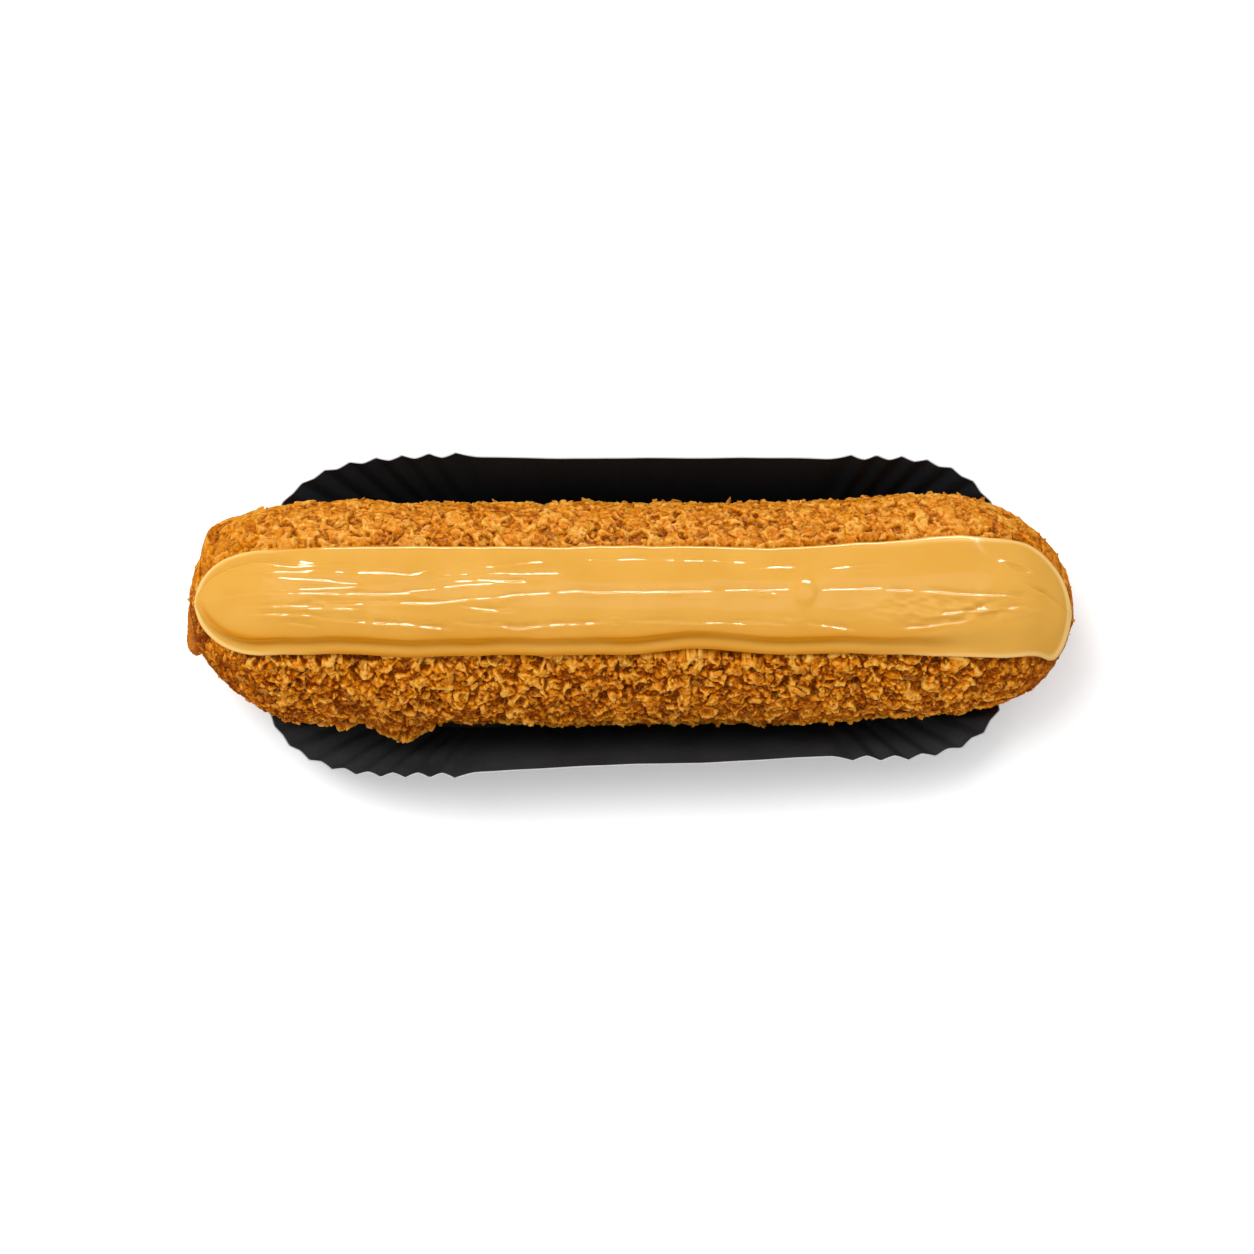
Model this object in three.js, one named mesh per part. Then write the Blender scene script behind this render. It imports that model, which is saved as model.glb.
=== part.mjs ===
import * as THREE from 'three';

/*
 * A coffee eclair in its black pleated paper case.
 * Millimetres. +X runs along the eclair, +Y to its back and +Z up.
 * The origin is under the middle of the case, on the surface that it stands on.
 */

// The paper case: a flat floor and a wall that leans outward, smooth along the sides and pleated round the ends
const CASE = {
  paper: 0.4,
  slant: 19.2,
  pleatDepth: 0.75,
  floor: { left: -44.5, pleatLeft: -24, pleatRight: 31.5, right: 47, back: 17, front: 17 },
  rim: { left: -61.2, pleatLeft: -28.9, pleatRight: 36.3, right: 62.5, back: 25.8, front: 25 },
  frontTaper: 0.034,
  cornerPower: 3.4,
  pleats: { left: 25, right: 21 },
  sideSteps: 8,
  wallSteps: [0, 0.3, 0.55, 0.8, 1],
  clearance: 0.7,
};

// The baked bun: a long loaf with round ends, a flat sole and a sole that lifts towards both tips
const BUN = {
  left: -72.3,
  right: 72.4,
  halfWidth: 17.9,
  leftCap: 19.8,
  rightCap: 21.4,
  soleCap: 30,
  widest: 15,
  tipLift: 1.6,
  rise: 16.4,
  drop: 15.9,
  upperPower: 2.15,
  lowerPower: 2.7,
  bend: { out: 1.4, from: 22, to: 50, back: 0.6, backFrom: 56, backTo: 70 },
  ringSpacing: 1.85,
  capRings: 10,
};

// The crust: crags all over it, calmer on the sole and level where the icing lies
const CRUST = { crag: 0.8, cragSize: 0.75, cluster: 0.35, clusterSize: 7, soleShare: 0.2, seed: 11 };

// Lumps that stand out of the crust: place along X, side (-1 front, 1 back), height, then width along X and round
const LUMPS = [
  { x: -38, side: -1, z: 12.5, out: 2.1, along: 3.4, round: 3.2 },
  { x: -48.3, side: -1, z: 13.5, out: 0.9, along: 1.6, round: 1.8 },
  { x: -45.5, side: 1, z: 17, out: 0.7, along: 7, round: 2.6 },
  { x: -70.8, side: -0.5, z: 14, out: 2.1, along: 2.4, round: 2.4 },
  { x: -67.6, side: 0.96, z: 17, out: 1.6, along: 3.2, round: 3.8 },
];

// The icing: a thin foot that has run out over the crust and a thick crown on it
const ICING = {
  left: -70.3,
  right: 71,
  halfWidth: 8.3,
  flare: { out: 1.0, from: 28, to: 55 },
  leftCap: 9.8,
  rightCap: 13,
  capPower: 2.3,
  offset: 0.55,
  follow: 0.5,
  slip: { left: 2, right: -2, length: 9 },
  foot: 0.95,
  crown: 3.2,
  lip: 0.8,
  footWidth: 2.0,
  shoulder: 1.5,
  crownDome: 0.5,
  grooves: [{ at: -3.1, depth: 0.22 }, { at: 0.6, depth: 0.2 }, { at: 3.7, depth: 0.22 }],
  grooveWidth: 0.9,
  drip: { x: 67.6, out: 1.3, half: 1.7 },
  acrossOuter: [1, 0.985, 0.93, 0.84, 0.76, 0.68, 0.56, 0.42, 0.24, 0.08, -0.06, -0.22, -0.4, -0.56, -0.68,
    -0.76, -0.84, -0.93, -0.985, -1],
  acrossInner: [-0.8, -0.5, -0.2, 0.2, 0.5, 0.8],
  ringSpacing: 2.7,
  capRings: 7,
};

// Air left between pieces that rest on each other
const GAP = 0.3;

/** From 0 at low to 1 at high, level at both. */
function ease(value, low, high) {
  return THREE.MathUtils.smoothstep(value, low, high);
}

/** A power that keeps the sign of what it raises. */
function signedPower(value, power) {
  return Math.sign(value) * Math.abs(value) ** power;
}

/** How far along a superellipse cap is open, from 0 at its tip to 1 at its root. */
function capShare(fromTip, length, power) {
  const left = Math.max(0, 1 - fromTip / length);
  return Math.max(0, 1 - left ** power) ** (1 / power);
}

/** A repeatable number from 0 to 1 for three whole numbers. */
function hash(i, j, k) {
  let bits = Math.imul(i, 374761393) ^ Math.imul(j, 668265263) ^ Math.imul(k + CRUST.seed, 1274126177);
  bits = Math.imul(bits ^ (bits >>> 13), 1103515245);
  bits ^= bits >>> 16;
  return (bits >>> 0) / 4294967296;
}

/** Smooth noise from -1 to 1, with one random value on each point of a unit grid. */
function noise(x, y, z) {
  const cell = [Math.floor(x), Math.floor(y), Math.floor(z)];
  const part = [ease(x - cell[0], 0, 1), ease(y - cell[1], 0, 1), ease(z - cell[2], 0, 1)];
  let sum = 0;
  for (let corner = 0; corner < 8; corner++) {
    const step = [corner & 1, (corner >> 1) & 1, corner >> 2];
    const weight = step.reduce((product, s, axis) => product * (s ? part[axis] : 1 - part[axis]), 1);
    sum += weight * hash(cell[0] + step[0], cell[1] + step[1], cell[2] + step[2]);
  }
  return 2 * sum - 1;
}

/** A closed body from rings of equal length, one behind the other, with a single point closing each end. */
function loft(first, rings, last) {
  const size = rings[0].length;
  const points = [first, ...rings.flat(), last];
  const end = points.length - 1;
  const at = (ring, place) => 1 + ring * size + (place % size);
  const index = [];
  for (let place = 0; place < size; place++) {
    index.push(0, at(0, place + 1), at(0, place));
    index.push(end, at(rings.length - 1, place), at(rings.length - 1, place + 1));
    for (let ring = 0; ring < rings.length - 1; ring++) {
      index.push(at(ring, place), at(ring, place + 1), at(ring + 1, place + 1));
      index.push(at(ring, place), at(ring + 1, place + 1), at(ring + 1, place));
    }
  }
  const geometry = new THREE.BufferGeometry();
  geometry.setAttribute('position', new THREE.Float32BufferAttribute(points.flatMap((p) => p.toArray()), 3));
  geometry.setIndex(index);
  geometry.computeVertexNormals();
  return geometry;
}

// The bun

/** How far the bun's middle line lies to the back: it bends that way near its right end. */
function bunBend(x) {
  const { out, from, to, back, backFrom, backTo } = BUN.bend;
  return out * ease(x, from, to) - back * ease(x, backFrom, backTo);
}

/** The bun's section at x: its centre, half width, and how far it rises and drops from its widest level. */
function bunSection(x) {
  const fromLeft = x - BUN.left;
  const fromRight = BUN.right - x;
  const round = Math.min(capShare(fromLeft, BUN.leftCap, 2), capShare(fromRight, BUN.rightCap, 2));
  const sole = Math.min(capShare(fromLeft, BUN.soleCap, 2), capShare(fromRight, BUN.soleCap, 2));
  return {
    centre: bunBend(x),
    halfWidth: BUN.halfWidth * round,
    level: BUN.widest + BUN.tipLift * (1 - round),
    rise: BUN.rise * round,
    drop: (BUN.drop + BUN.tipLift * (1 - round)) * sole,
  };
}

/** The smooth bun under its crags: a superellipse round each station, cut flat where it stands. */
function bunPoint(x, angle) {
  const section = bunSection(x);
  const up = Math.sin(angle) > 0;
  const power = 2 / (up ? BUN.upperPower : BUN.lowerPower);
  const z = section.level + (up ? section.rise : section.drop) * signedPower(Math.sin(angle), power);
  const y = section.centre + section.halfWidth * signedPower(Math.cos(angle), power);
  return new THREE.Vector3(x, y, Math.max(z, CASE.paper + GAP));
}

/** The height of the bun's upper side over a place inside its outline. */
function bunTop(x, y) {
  const section = bunSection(x);
  const across = Math.min(1, Math.abs(y - section.centre) / section.halfWidth);
  return section.level + section.rise * (1 - across ** BUN.upperPower) ** (1 / BUN.upperPower);
}

/** The height below which nothing touches the bun's craggy underside, or no limit beside the bun. */
function underBun(x, y) {
  const section = bunSection(x);
  const across = Math.abs(y - section.centre) / (section.halfWidth + CRUST.crag + CRUST.cluster);
  if (across >= 1) return Infinity;
  const sole = section.level - section.drop * (1 - across ** BUN.lowerPower) ** (1 / BUN.lowerPower);
  return Math.max(sole - CASE.clearance, CASE.paper + GAP) - GAP;
}

/** The direction straight out of a surface, from its height over the places beside it. */
function outward(height, x, y, reach) {
  const slopeX = (height(x + reach, y) - height(x - reach, y)) / (2 * reach);
  const slopeY = (height(x, y + reach) - height(x, y - reach)) / (2 * reach);
  return new THREE.Vector3(-slopeX, -slopeY, 1).normalize();
}

/** How far the crust stands out at a point: fine crags, broader clusters and the single lumps. */
function crustRelief(point) {
  const fine = noise(point.x / CRUST.cragSize, point.y / CRUST.cragSize, point.z / CRUST.cragSize);
  const broad = noise(point.x / CRUST.clusterSize + 31, point.y / CRUST.clusterSize, point.z / CRUST.clusterSize);
  const sole = CRUST.soleShare + (1 - CRUST.soleShare) * ease(point.z, 1.5, 7);
  let relief = (CRUST.crag * fine + CRUST.cluster * broad) * sole * icingClearance(point);
  for (const lump of LUMPS) {
    const section = bunSection(lump.x);
    const y = section.centre + lump.side * section.halfWidth;
    const away = ((point.x - lump.x) / lump.along) ** 2
      + ((point.y - y) ** 2 + (point.z - lump.z) ** 2) / lump.round ** 2;
    relief += lump.out * Math.exp(-away);
  }
  return relief;
}

/** 0 under the icing, growing to 1 a little way outside its edge. */
function icingClearance(point) {
  const level = bunSection(point.x).level;
  if (point.z < level) return 1;
  return ease(-icingInset(point.x, point.y), 0.4, 1.8);
}

/** The stations of a loaf along X: close together round the caps, evenly spaced between them. */
function stations(left, right, leftCap, rightCap, capRings, spacing) {
  const places = [];
  for (let step = 1; step < capRings; step++) {
    const turn = (step / capRings) * (Math.PI / 2);
    places.push(left + leftCap * (1 - Math.cos(turn)));
    places.push(right - rightCap * (1 - Math.cos(turn)));
  }
  const from = left + leftCap;
  const to = right - rightCap;
  const steps = Math.round((to - from) / spacing);
  for (let step = 0; step <= steps; step++) places.push(from + ((to - from) * step) / steps);
  return places.sort((a, b) => a - b);
}

/** The angles round the bun: fine over the crust that shows, coarse under the icing and on the sole. */
function bunAngles() {
  const stretches = [
    { from: -48, to: 62, steps: 17 },
    { from: 62, to: 118, steps: 5 },
    { from: 118, to: 228, steps: 17 },
    { from: 228, to: 312, steps: 6 },
  ];
  return stretches.flatMap(({ from, to, steps }) =>
    Array.from({ length: steps }, (_, step) => THREE.MathUtils.degToRad(from + ((to - from) * step) / steps)));
}

function makeBun() {
  const angles = bunAngles();
  const centre = new THREE.Vector3();
  const rings = stations(BUN.left, BUN.right, BUN.leftCap, BUN.rightCap, BUN.capRings, BUN.ringSpacing).map((x, ring) => {
    const section = bunSection(x);
    const calm = Math.min(1, section.halfWidth / 8);
    return angles.map((angle, place) => {
      const shift = (hash(ring, place, 3) - 0.5) * 0.9 * calm;
      const point = bunPoint(x + shift, angle);
      centre.set(x, section.centre, section.level);
      const out = point.clone().sub(centre);
      out.x = BUN.halfWidth * Math.sign(x) * (1 - section.halfWidth / BUN.halfWidth);
      out.normalize();
      point.addScaledVector(out, crustRelief(point) * calm);
      point.z = Math.max(point.z, CASE.paper + GAP);
      return point;
    });
  });
  const tip = (x) => new THREE.Vector3(x, bunSection(x).centre, bunSection(x).level);
  return loft(tip(BUN.left), rings, tip(BUN.right));
}

// The icing

/** The icing's middle line and half width at x, in plan. */
function icingPlan(x) {
  const { out, from, to } = ICING.flare;
  const { left, right, length } = ICING.slip;
  const slip = left * ease(-x, -ICING.left - length, -ICING.left) + right * ease(x, ICING.right - length, ICING.right);
  const open = Math.min(
    capShare(x - ICING.left, ICING.leftCap, ICING.capPower),
    capShare(ICING.right - x, ICING.rightCap, ICING.capPower),
  );
  return {
    centre: ICING.offset + ICING.follow * bunBend(x) + slip,
    half: (ICING.halfWidth + out * ease(x, from, to)) * open,
  };
}

/** Extra width of the front edge where a drip has run down. */
function dripOut(x) {
  const { x: at, out, half } = ICING.drip;
  return out * Math.exp(-(((x - at) / half) ** 2));
}

/** How far a place lies inside the icing's edge, in plan: negative outside it. */
function icingInset(x, y) {
  if (x <= ICING.left || x >= ICING.right) return -4;
  const step = 0.05;
  const plan = icingPlan(x);
  const slope = (icingPlan(x + step).half - icingPlan(x - step).half) / (2 * step);
  const half = plan.half + (y < plan.centre ? dripOut(x) : 0);
  return (half - Math.abs(y - plan.centre)) / Math.hypot(1, slope);
}

/** The icing's thickness a given way inside its edge: a round lip, a thin foot, a shoulder and a domed crown. */
function icingThickness(x, y) {
  const inset = Math.max(0, icingInset(x, y));
  const lip = Math.sqrt(1 - (1 - Math.min(1, inset / ICING.lip)) ** 2);
  const shoulder = ease(inset, ICING.footWidth, ICING.footWidth + ICING.shoulder);
  const dome = ICING.crownDome * ease(inset, ICING.footWidth, ICING.halfWidth);
  let thickness = ICING.foot * lip + (ICING.crown - ICING.crownDome - ICING.foot) * shoulder + dome;
  for (const groove of ICING.grooves) {
    const wander = 0.5 * noise(x / 14, groove.at * 3, 5);
    thickness -= groove.depth * shoulder * Math.exp(-(((y - icingPlan(x).centre - groove.at - wander) / ICING.grooveWidth) ** 2));
  }
  return thickness;
}

/** A point of the icing over a place: its underside lies a gap above the bun, its outside a thickness above that. */
function icingPoint(x, across, outer) {
  const plan = icingPlan(x);
  const half = plan.half + (across < 0 ? dripOut(x) * Math.min(1, plan.half / 3) : 0);
  const y = plan.centre + across * half;
  const thickness = outer ? icingThickness(x, y) : 0;
  return new THREE.Vector3(x, y, bunTop(x, y)).addScaledVector(outward(bunTop, x, y, 0.05), GAP + thickness);
}

function makeIcing() {
  const { left, right, leftCap, rightCap, capRings, ringSpacing, acrossOuter, acrossInner } = ICING;
  const rings = stations(left, right, leftCap, rightCap, capRings, ringSpacing).map((x) => [
    ...acrossOuter.map((across) => icingPoint(x, across, true)),
    ...acrossInner.map((across) => icingPoint(x, across, false)),
  ]);
  return loft(icingPoint(left, 0, false), rings, icingPoint(right, 0, false));
}

// The paper case

/** Half of an outline of the case, round one end, from its back to its front. */
class CaseEnd extends THREE.Curve {
  constructor(outline, side) {
    super();
    this.root = side < 0 ? outline.pleatLeft : outline.pleatRight;
    this.reach = (side < 0 ? outline.left : outline.right) - this.root;
    this.back = outline.back;
    this.front = outline.front - CASE.frontTaper * this.root;
  }

  getPoint(share, target = new THREE.Vector3()) {
    const turn = Math.PI * (0.5 - share);
    const power = 2 / CASE.cornerPower;
    const width = turn > 0 ? this.back : this.front;
    return target.set(
      this.root + this.reach * signedPower(Math.cos(turn), power),
      width * signedPower(Math.sin(turn), power),
      0,
    );
  }
}

/** A whole outline of the case: the left end, the front side, the right end and the back side. */
function caseOutline(outline) {
  const left = new CaseEnd(outline, -1).getSpacedPoints(2 * CASE.pleats.left);
  const right = new CaseEnd(outline, 1).getSpacedPoints(2 * CASE.pleats.right).reverse();
  const side = (from, to) => Array.from({ length: CASE.sideSteps - 1 }, (_, step) =>
    from.clone().lerp(to, (step + 1) / CASE.sideSteps));
  return [...left, ...side(left.at(-1), right[0]), ...right, ...side(right.at(-1), left[0])];
}

/** Which way the paper is folded at each point of an outline: out and in by turns round the ends, in along the sides. */
function pleatSigns() {
  const end = (pleats) => Array.from({ length: 2 * pleats + 1 }, (_, place) => (place % 2 ? -1 : 1));
  const side = Array(CASE.sideSteps - 1).fill(-1);
  return [...end(CASE.pleats.left), ...side, ...end(CASE.pleats.right), ...side];
}

/** The wall of the case: one ring of points for each step up it, on its inside and its outside. */
function caseWall() {
  const floor = caseOutline(CASE.floor);
  const rim = caseOutline(CASE.rim);
  const signs = pleatSigns();
  const count = floor.length;
  const up = new THREE.Vector3(0, 0, 1);
  const inside = CASE.wallSteps.map(() => []);
  const outside = CASE.wallSteps.map(() => []);
  for (let place = 0; place < count; place++) {
    const lean = rim[place].clone().sub(floor[place]);
    const run = lean.length();
    const climb = Math.sqrt(Math.max(0, CASE.slant ** 2 - run ** 2));
    const along = rim[(place + 1) % count].clone().sub(rim[(place + count - 1) % count]).normalize();
    lean.z = climb;
    const normal = new THREE.Vector3().crossVectors(lean, along).normalize();
    if (normal.z > 0) normal.negate();
    CASE.wallSteps.forEach((share, step) => {
      const fold = CASE.pleatDepth * signs[place] * share;
      const point = floor[place].clone().addScaledVector(lean, share).addScaledVector(normal, fold);
      const inner = point.clone().addScaledVector(share > 0 ? normal : up, share > 0 ? -CASE.paper : CASE.paper);
      const pressed = share > 0 ? Math.max(0, inner.z - underBun(inner.x, inner.y)) : 0;
      inner.z -= pressed;
      point.z = Math.max(point.z - pressed, 0);
      inside[step].push(inner);
      outside[step].push(point);
    });
  }
  return { inside, outside };
}

function makePaperCase() {
  const { inside, outside } = caseWall();
  const rings = [...outside, ...inside.reverse()];
  return loft(new THREE.Vector3(0, 0, 0), rings, new THREE.Vector3(0, 0, CASE.paper));
}

// The whole

function piece(name, geometry, color, roughness) {
  const mesh = new THREE.Mesh(geometry, new THREE.MeshStandardMaterial({ color, roughness, metalness: 0 }));
  mesh.name = name;
  return mesh;
}

const eclair = new THREE.Group();
eclair.add(piece('bun', makeBun(), 0xc27a24, 0.75));
eclair.add(piece('icing', makeIcing(), 0xefb152, 0.25));
eclair.add(piece('paper_case', makePaperCase(), 0x161615, 0.8));

export default eclair;
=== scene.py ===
"""A coffee eclair in its black pleated paper case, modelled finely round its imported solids.

Shapes are worked out in millimetres, +X along the eclair, +Y to its back and +Z up. Meshes are in metres.
"""

import bpy
import numpy as np
from bpy.props import FloatProperty, FloatVectorProperty, IntProperty, PointerProperty
from bpy.types import Operator, Panel, PropertyGroup
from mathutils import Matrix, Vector


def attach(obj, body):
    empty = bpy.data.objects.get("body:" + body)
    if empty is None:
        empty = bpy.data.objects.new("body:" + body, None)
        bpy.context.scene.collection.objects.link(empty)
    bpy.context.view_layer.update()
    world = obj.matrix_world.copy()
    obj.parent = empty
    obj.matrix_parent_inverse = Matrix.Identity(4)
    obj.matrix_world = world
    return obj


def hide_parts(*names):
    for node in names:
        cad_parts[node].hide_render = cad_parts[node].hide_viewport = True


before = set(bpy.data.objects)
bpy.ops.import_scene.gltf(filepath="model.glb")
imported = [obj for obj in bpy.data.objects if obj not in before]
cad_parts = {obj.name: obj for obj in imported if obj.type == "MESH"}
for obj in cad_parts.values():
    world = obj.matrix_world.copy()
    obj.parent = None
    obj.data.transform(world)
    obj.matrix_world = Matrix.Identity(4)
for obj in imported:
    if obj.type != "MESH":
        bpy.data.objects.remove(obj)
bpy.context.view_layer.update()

bl_info = {
    "name": "Coffee eclair in a paper case",
    "version": (1, 0, 0),
    "blender": (4, 5, 0),
    "location": "View3D > Sidebar > Eclair",
    "description": "Builds a crusty choux eclair with coffee icing in a black pleated case, and its studio",
    "category": "Add Mesh",
}

MM = 0.001
SEED = 23

# The noises' grids stand aslant, so that none of their lines runs along the eclair: a row for each axis
ASLANT = np.array([(0.36, 0.48, -0.8), (-0.8, 0.6, 0.0), (0.48, 0.64, 0.6)])

# All lengths below are in millimetres, apart from the lamps'.
# The smooth bun, as it is in the solid: a long loaf with quarter-ellipse caps and a flat sole
BUN_LEFT, BUN_RIGHT = -72.3, 72.4
BUN_HALF = 17.9
BUN_CAPS = (19.8, 21.4)
SOLE_CAP = 30.0
BUN_LEVEL, BUN_RISE, BUN_DROP = 15.0, 16.4, 15.9
TIP_LIFT = 1.6
UPPER_POWER, LOWER_POWER = 2.15, 2.7
# Its middle line bends to the back: how far, and between which x. The last bend is at the left end, and the
# icing does not follow it
BENDS = ((1.4, 22, 50), (-0.6, 56, 70))
LEFT_BEND = (1.5, 52, 68)

# Lumps that stand out of the crust: x, side, height, out, width along, width round
LUMPS = (
    (-37.5, -1.0, 13.5, 2.9, 4.2, 3.4),
    (-47.9, -1.0, 13.5, 1.0, 1.8, 1.8),
    (-45.5, 1.0, 17.0, 0.7, 7.0, 2.6),
    (-67.6, 0.96, 17.0, 1.6, 3.2, 3.8),
)
# The crust's crags: the size of its coarse and fine chunks, and the height that each kind of form gives
CHUNK_SIZES = (2.4, 1.05)
CRAG_HEIGHTS = {
    "dome": 0.6,
    "step": 0.55,
    "tilt": 0.6,
    "grain": 0.25,
    "fine step": 0.28,
    "fine tilt": 0.25,
    "wall": 0.3,
    "cluster": 0.5,
    "pit": -1.1,
    "everywhere": -0.3,
    "in front": -0.35,
}
# How deep the crust lies under the icing, and how much deeper just outside its edge
UNDER_ICING, BESIDE_ICING = 0.5, 0.4
# How fine the crust's mesh is: rings in each cap and between the caps, the visible arc's lowest and highest
# angle and its points, the points under and over it, and the steps of the wall inside the bun
CRUST_RINGS = (155, 560)
CRUST_ARC = (-50, 64, 176)
HIDDEN_BELOW, HIDDEN_ABOVE, CHORD_STEPS = 13, 7, 5

# Crumbs: seed, least and most size, flatness, raggedness, curl, how far they lean, and how far they stand out
CRUMBS = {
    "flakes": (60, (0.5, 1.2), 0.35, 0.25, 0.3, 0.5, -0.1),
    "shards": (61, (0.35, 0.75), 0.5, 0.3, 0.2, 0.7, -0.1),
    "nuggets": (62, (0.35, 0.7), 0.8, 0.22, 0.0, 0.6, -0.2),
}
CRUMB_POINTS, CRUMB_RINGS, CRUMB_SIDES = 26, 3, 8
LOWEST_CRUMB = 2.2

# The caramel flap: x, y, z and half thickness along it
FLAP = (
    (-71.5, 3.0, 16.0, 0.4),
    (-72.0, 1.2, 16.2, 0.6),
    (-72.1, -0.6, 15.8, 0.7),
    (-71.9, -2.2, 15.5, 0.95),
    (-71.7, -3.4, 15.2, 1.2),
    (-71.6, -4.6, 14.8, 1.5),
    (-71.2, -5.7, 14.4, 1.45),
    (-70.7, -6.5, 14.0, 0.8),
)
FLAP_RINGS, FLAP_SIDES, FLAP_RAGGEDNESS = 40, 20, 0.13

# The icing's plan: its ends, half width, and the length and roundness of its left and right cap
ICING_LEFT, ICING_RIGHT = -70.3, 70.4
ICING_HALF = 8.3
ICING_CAPS = (11.3, 12.4)
ICING_CAP_POWERS = (2.1, 2.5)
# How far it lies to the back, its share of the bun's bends, and how far its left and right end slip sideways
ICING_BACK, BEND_SHARE = 0.55, 0.5
LEFT_SLIP, RIGHT_SLIP = (0.4, 61, 70), (-1.5, 63, 70)
# How much wider it is on the right, between which x
WIDENING = (1.0, 28, 55)
# Its edge: wavers of a reach and a length, swells in front of a reach, a place and a length, and the drip
WAVERS = ((0.22, 9.0), (0.12, 3.5))
FRONT_SWELLS = ((0.45, -33, 9), (-0.7, 11, 6))
DRIP = (1.3, 68.2, 1.8)
# How fine its mesh is: rings in each cap and between them, points across its top and its underside
ICING_RINGS = (40, 340)
ICING_ACROSS, ICING_UNDER = 208, 14
ICING_SINK = 0.35

# Strokes left in the icing as it was drawn along: each stroke's line of (x, y) and how high its step is
STROKES = (
    (((-62, 5.4), (-54, 5.5), (-43, 5.4)), 0.036),
    (((-57, 4.6), (-46, 4.5), (-35, 4.2), (-31, 5.0)), 0.058),
    (((-60, 3.7), (-53, 3.6), (-42, 2.7)), 0.072),
    (((-65, 1.4), (-54, 1.9), (-42, 2.4)), 0.085),
    (((-57, 1.5), (-45, 1.3), (-33, 1.4)), 0.085),
    (((-61, -0.3), (-52, -0.4), (-42, -0.1), (-34, 0.1)), 0.104),
    (((-53, -0.8), (-48, -0.7), (-43, -0.9)), 0.117),
    (((-60, -1.3), (-51, -1.8), (-46, -2.5), (-34, -3.0)), 0.13),
    (((-55, -2.7), (-50, -3.4)), 0.13),
    (((-29, 5.6), (-20, 6.0), (-11, 6.4)), 0.052),
    (((-26, 5.1), (-18, 5.6), (-12, 6.1)), 0.039),
    (((-32, 4.3), (-20, 4.3), (-9, 4.1)), 0.046),
    (((-32, 3.0), (-24, 3.3), (-16, 3.0)), 0.065),
    (((-37, 1.6), (-27, 2.6), (-16, 3.2)), 0.065),
    (((-37, 0.0), (-31, 0.0), (-20, 1.1), (-10, 1.6), (2, 1.6), (21, 1.9), (26, 2.1)), 0.098),
    (((19, 1.5), (26, 1.3)), 0.091),
    (((29, 1.9), (35, 2.0), (41, 2.4)), 0.091),
    (((-27, -0.4), (-19, -1.4)), 0.117),
    (((-36, -3.0), (-29, -3.7)), 0.143),
    (((-28, -2.6), (-18, -3.5), (-11, -3.0), (-3, -2.7)), 0.143),
    (((0, -2.6), (14, -2.8), (27, -3.1)), 0.104),
    (((28, -2.7), (36, -3.8)), 0.13),
    (((-9, 6.3), (6, 6.2), (20, 5.9)), 0.06),
    (((19, 4.9), (29, 5.5)), 0.06),
    (((31, 4.9), (36, 5.4), (42, 6.0)), 0.06),
    (((39, 2.1), (46, 1.9), (53, 1.5), (63, 1.1)), 0.15),
    (((48, -1.6), (54, -0.9), (62, -0.2)), 0.17),
    (((42, -3.4), (48, -3.0), (54, -2.0)), 0.17),
    (((53, -1.0), (58, 0.4)), 0.15),
    (((61, 3.4), (65, 1.6), (68.5, -0.6)), 0.2),
)
STROKE_WIDTH, STROKE_REACH, STROKE_WANDER = 0.13, 0.7, 0.12
STREAK_HEIGHT = 0.07

# Patches where the wet surface is wrinkled: how much, middle x, reach along, middle y, reach across
WET_PATCHES = (
    (2.6, 51.0, 10.0, -0.8, 1.6),
    (0.8, -22.6, 3.4, -0.9, 0.7),
    (0.55, -50.0, 7.0, -0.6, 1.6),
    (0.35, -52.0, 8.0, 3.6, 1.4),
    (0.5, -28.0, 8.0, 5.0, 1.4),
    (0.5, 24.0, 6.0, -2.6, 0.8),
    (0.4, -33.0, 3.0, -3.0, 0.8),
)
RIPPLE = 0.2

# What has bubbled in the icing: x, y and radius of a blister and a burst bubble, and x, y, half length and
# half width of a dent and a trough, with the dent's turn clockwise and the trough's slope
BLISTER = (27.8, 1.6, 1.6)
BURST = (-2.4, -2.7, 0.6)
DENT, DENT_TURN = (60.9, 5.3, 2.1, 0.65), 0.32
TROUGH, TROUGH_SLOPE = (-56.4, 7.4, 5.6, 0.6), 0.04

# The paper case's floor and rim: left end, pleats from, pleats to, right end, back and front half widths
FLOOR = (-44.5, -24.0, 31.5, 47.0, 17.0, 17.0)
RIM = (-61.9, -28.9, 36.3, 62.7, 26.1, 25.6)
FRONT_TAPER = 0.043
CORNER_POWER = 3.4
PLEATS = (24, 20)
PLEAT_SKEW = 0.05
WALL_SLANT = 19.2
# How fine its mesh is: steps for each pleat and for each side, and rows up the wall, as shares of its height
PLEAT_STEPS, SIDE_STEPS = 10, 60
WALL_ROWS = np.concatenate([[0.0, 0.03, 0.07], np.linspace(0.14, 0.99, 15), [1.0]])

# The studio, in metres: each lamp's place and size, and the kind of ray that does not see it
LAMPS = {
    "key": ((-0.5, 0.5, 1.25), (0.8, 0.8), "visible_glossy"),
    "glint": ((0.1, 1.27, 0.52), (1.2, 0.46), "visible_diffuse"),
    "sheen": ((0.0, 0.25, 1.5), (1.6, 1.0), "visible_diffuse"),
}
FLOOR_HALF = 1500.0
# The camera, in millimetres: its sensor, the width that it frames at the eclair, and where it is aimed
SENSOR, FRAMED = 36.0, 206.2
AIM = (-0.66, -2.2, BUN_LEVEL)


# Shared sums

def ease(value, low, high):
    """From 0 at low to 1 at high, level at both: 3t^2 - 2t^3."""
    t = np.clip((value - low) / (high - low), 0, 1)
    return t * t * (3 - 2 * t)


def hill(away, reach, power=2):
    """A round hill, exp(-(away / reach)^power): 1 in the middle, with a flatter top for a higher power."""
    return np.exp(-((away / reach) ** power))


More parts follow.
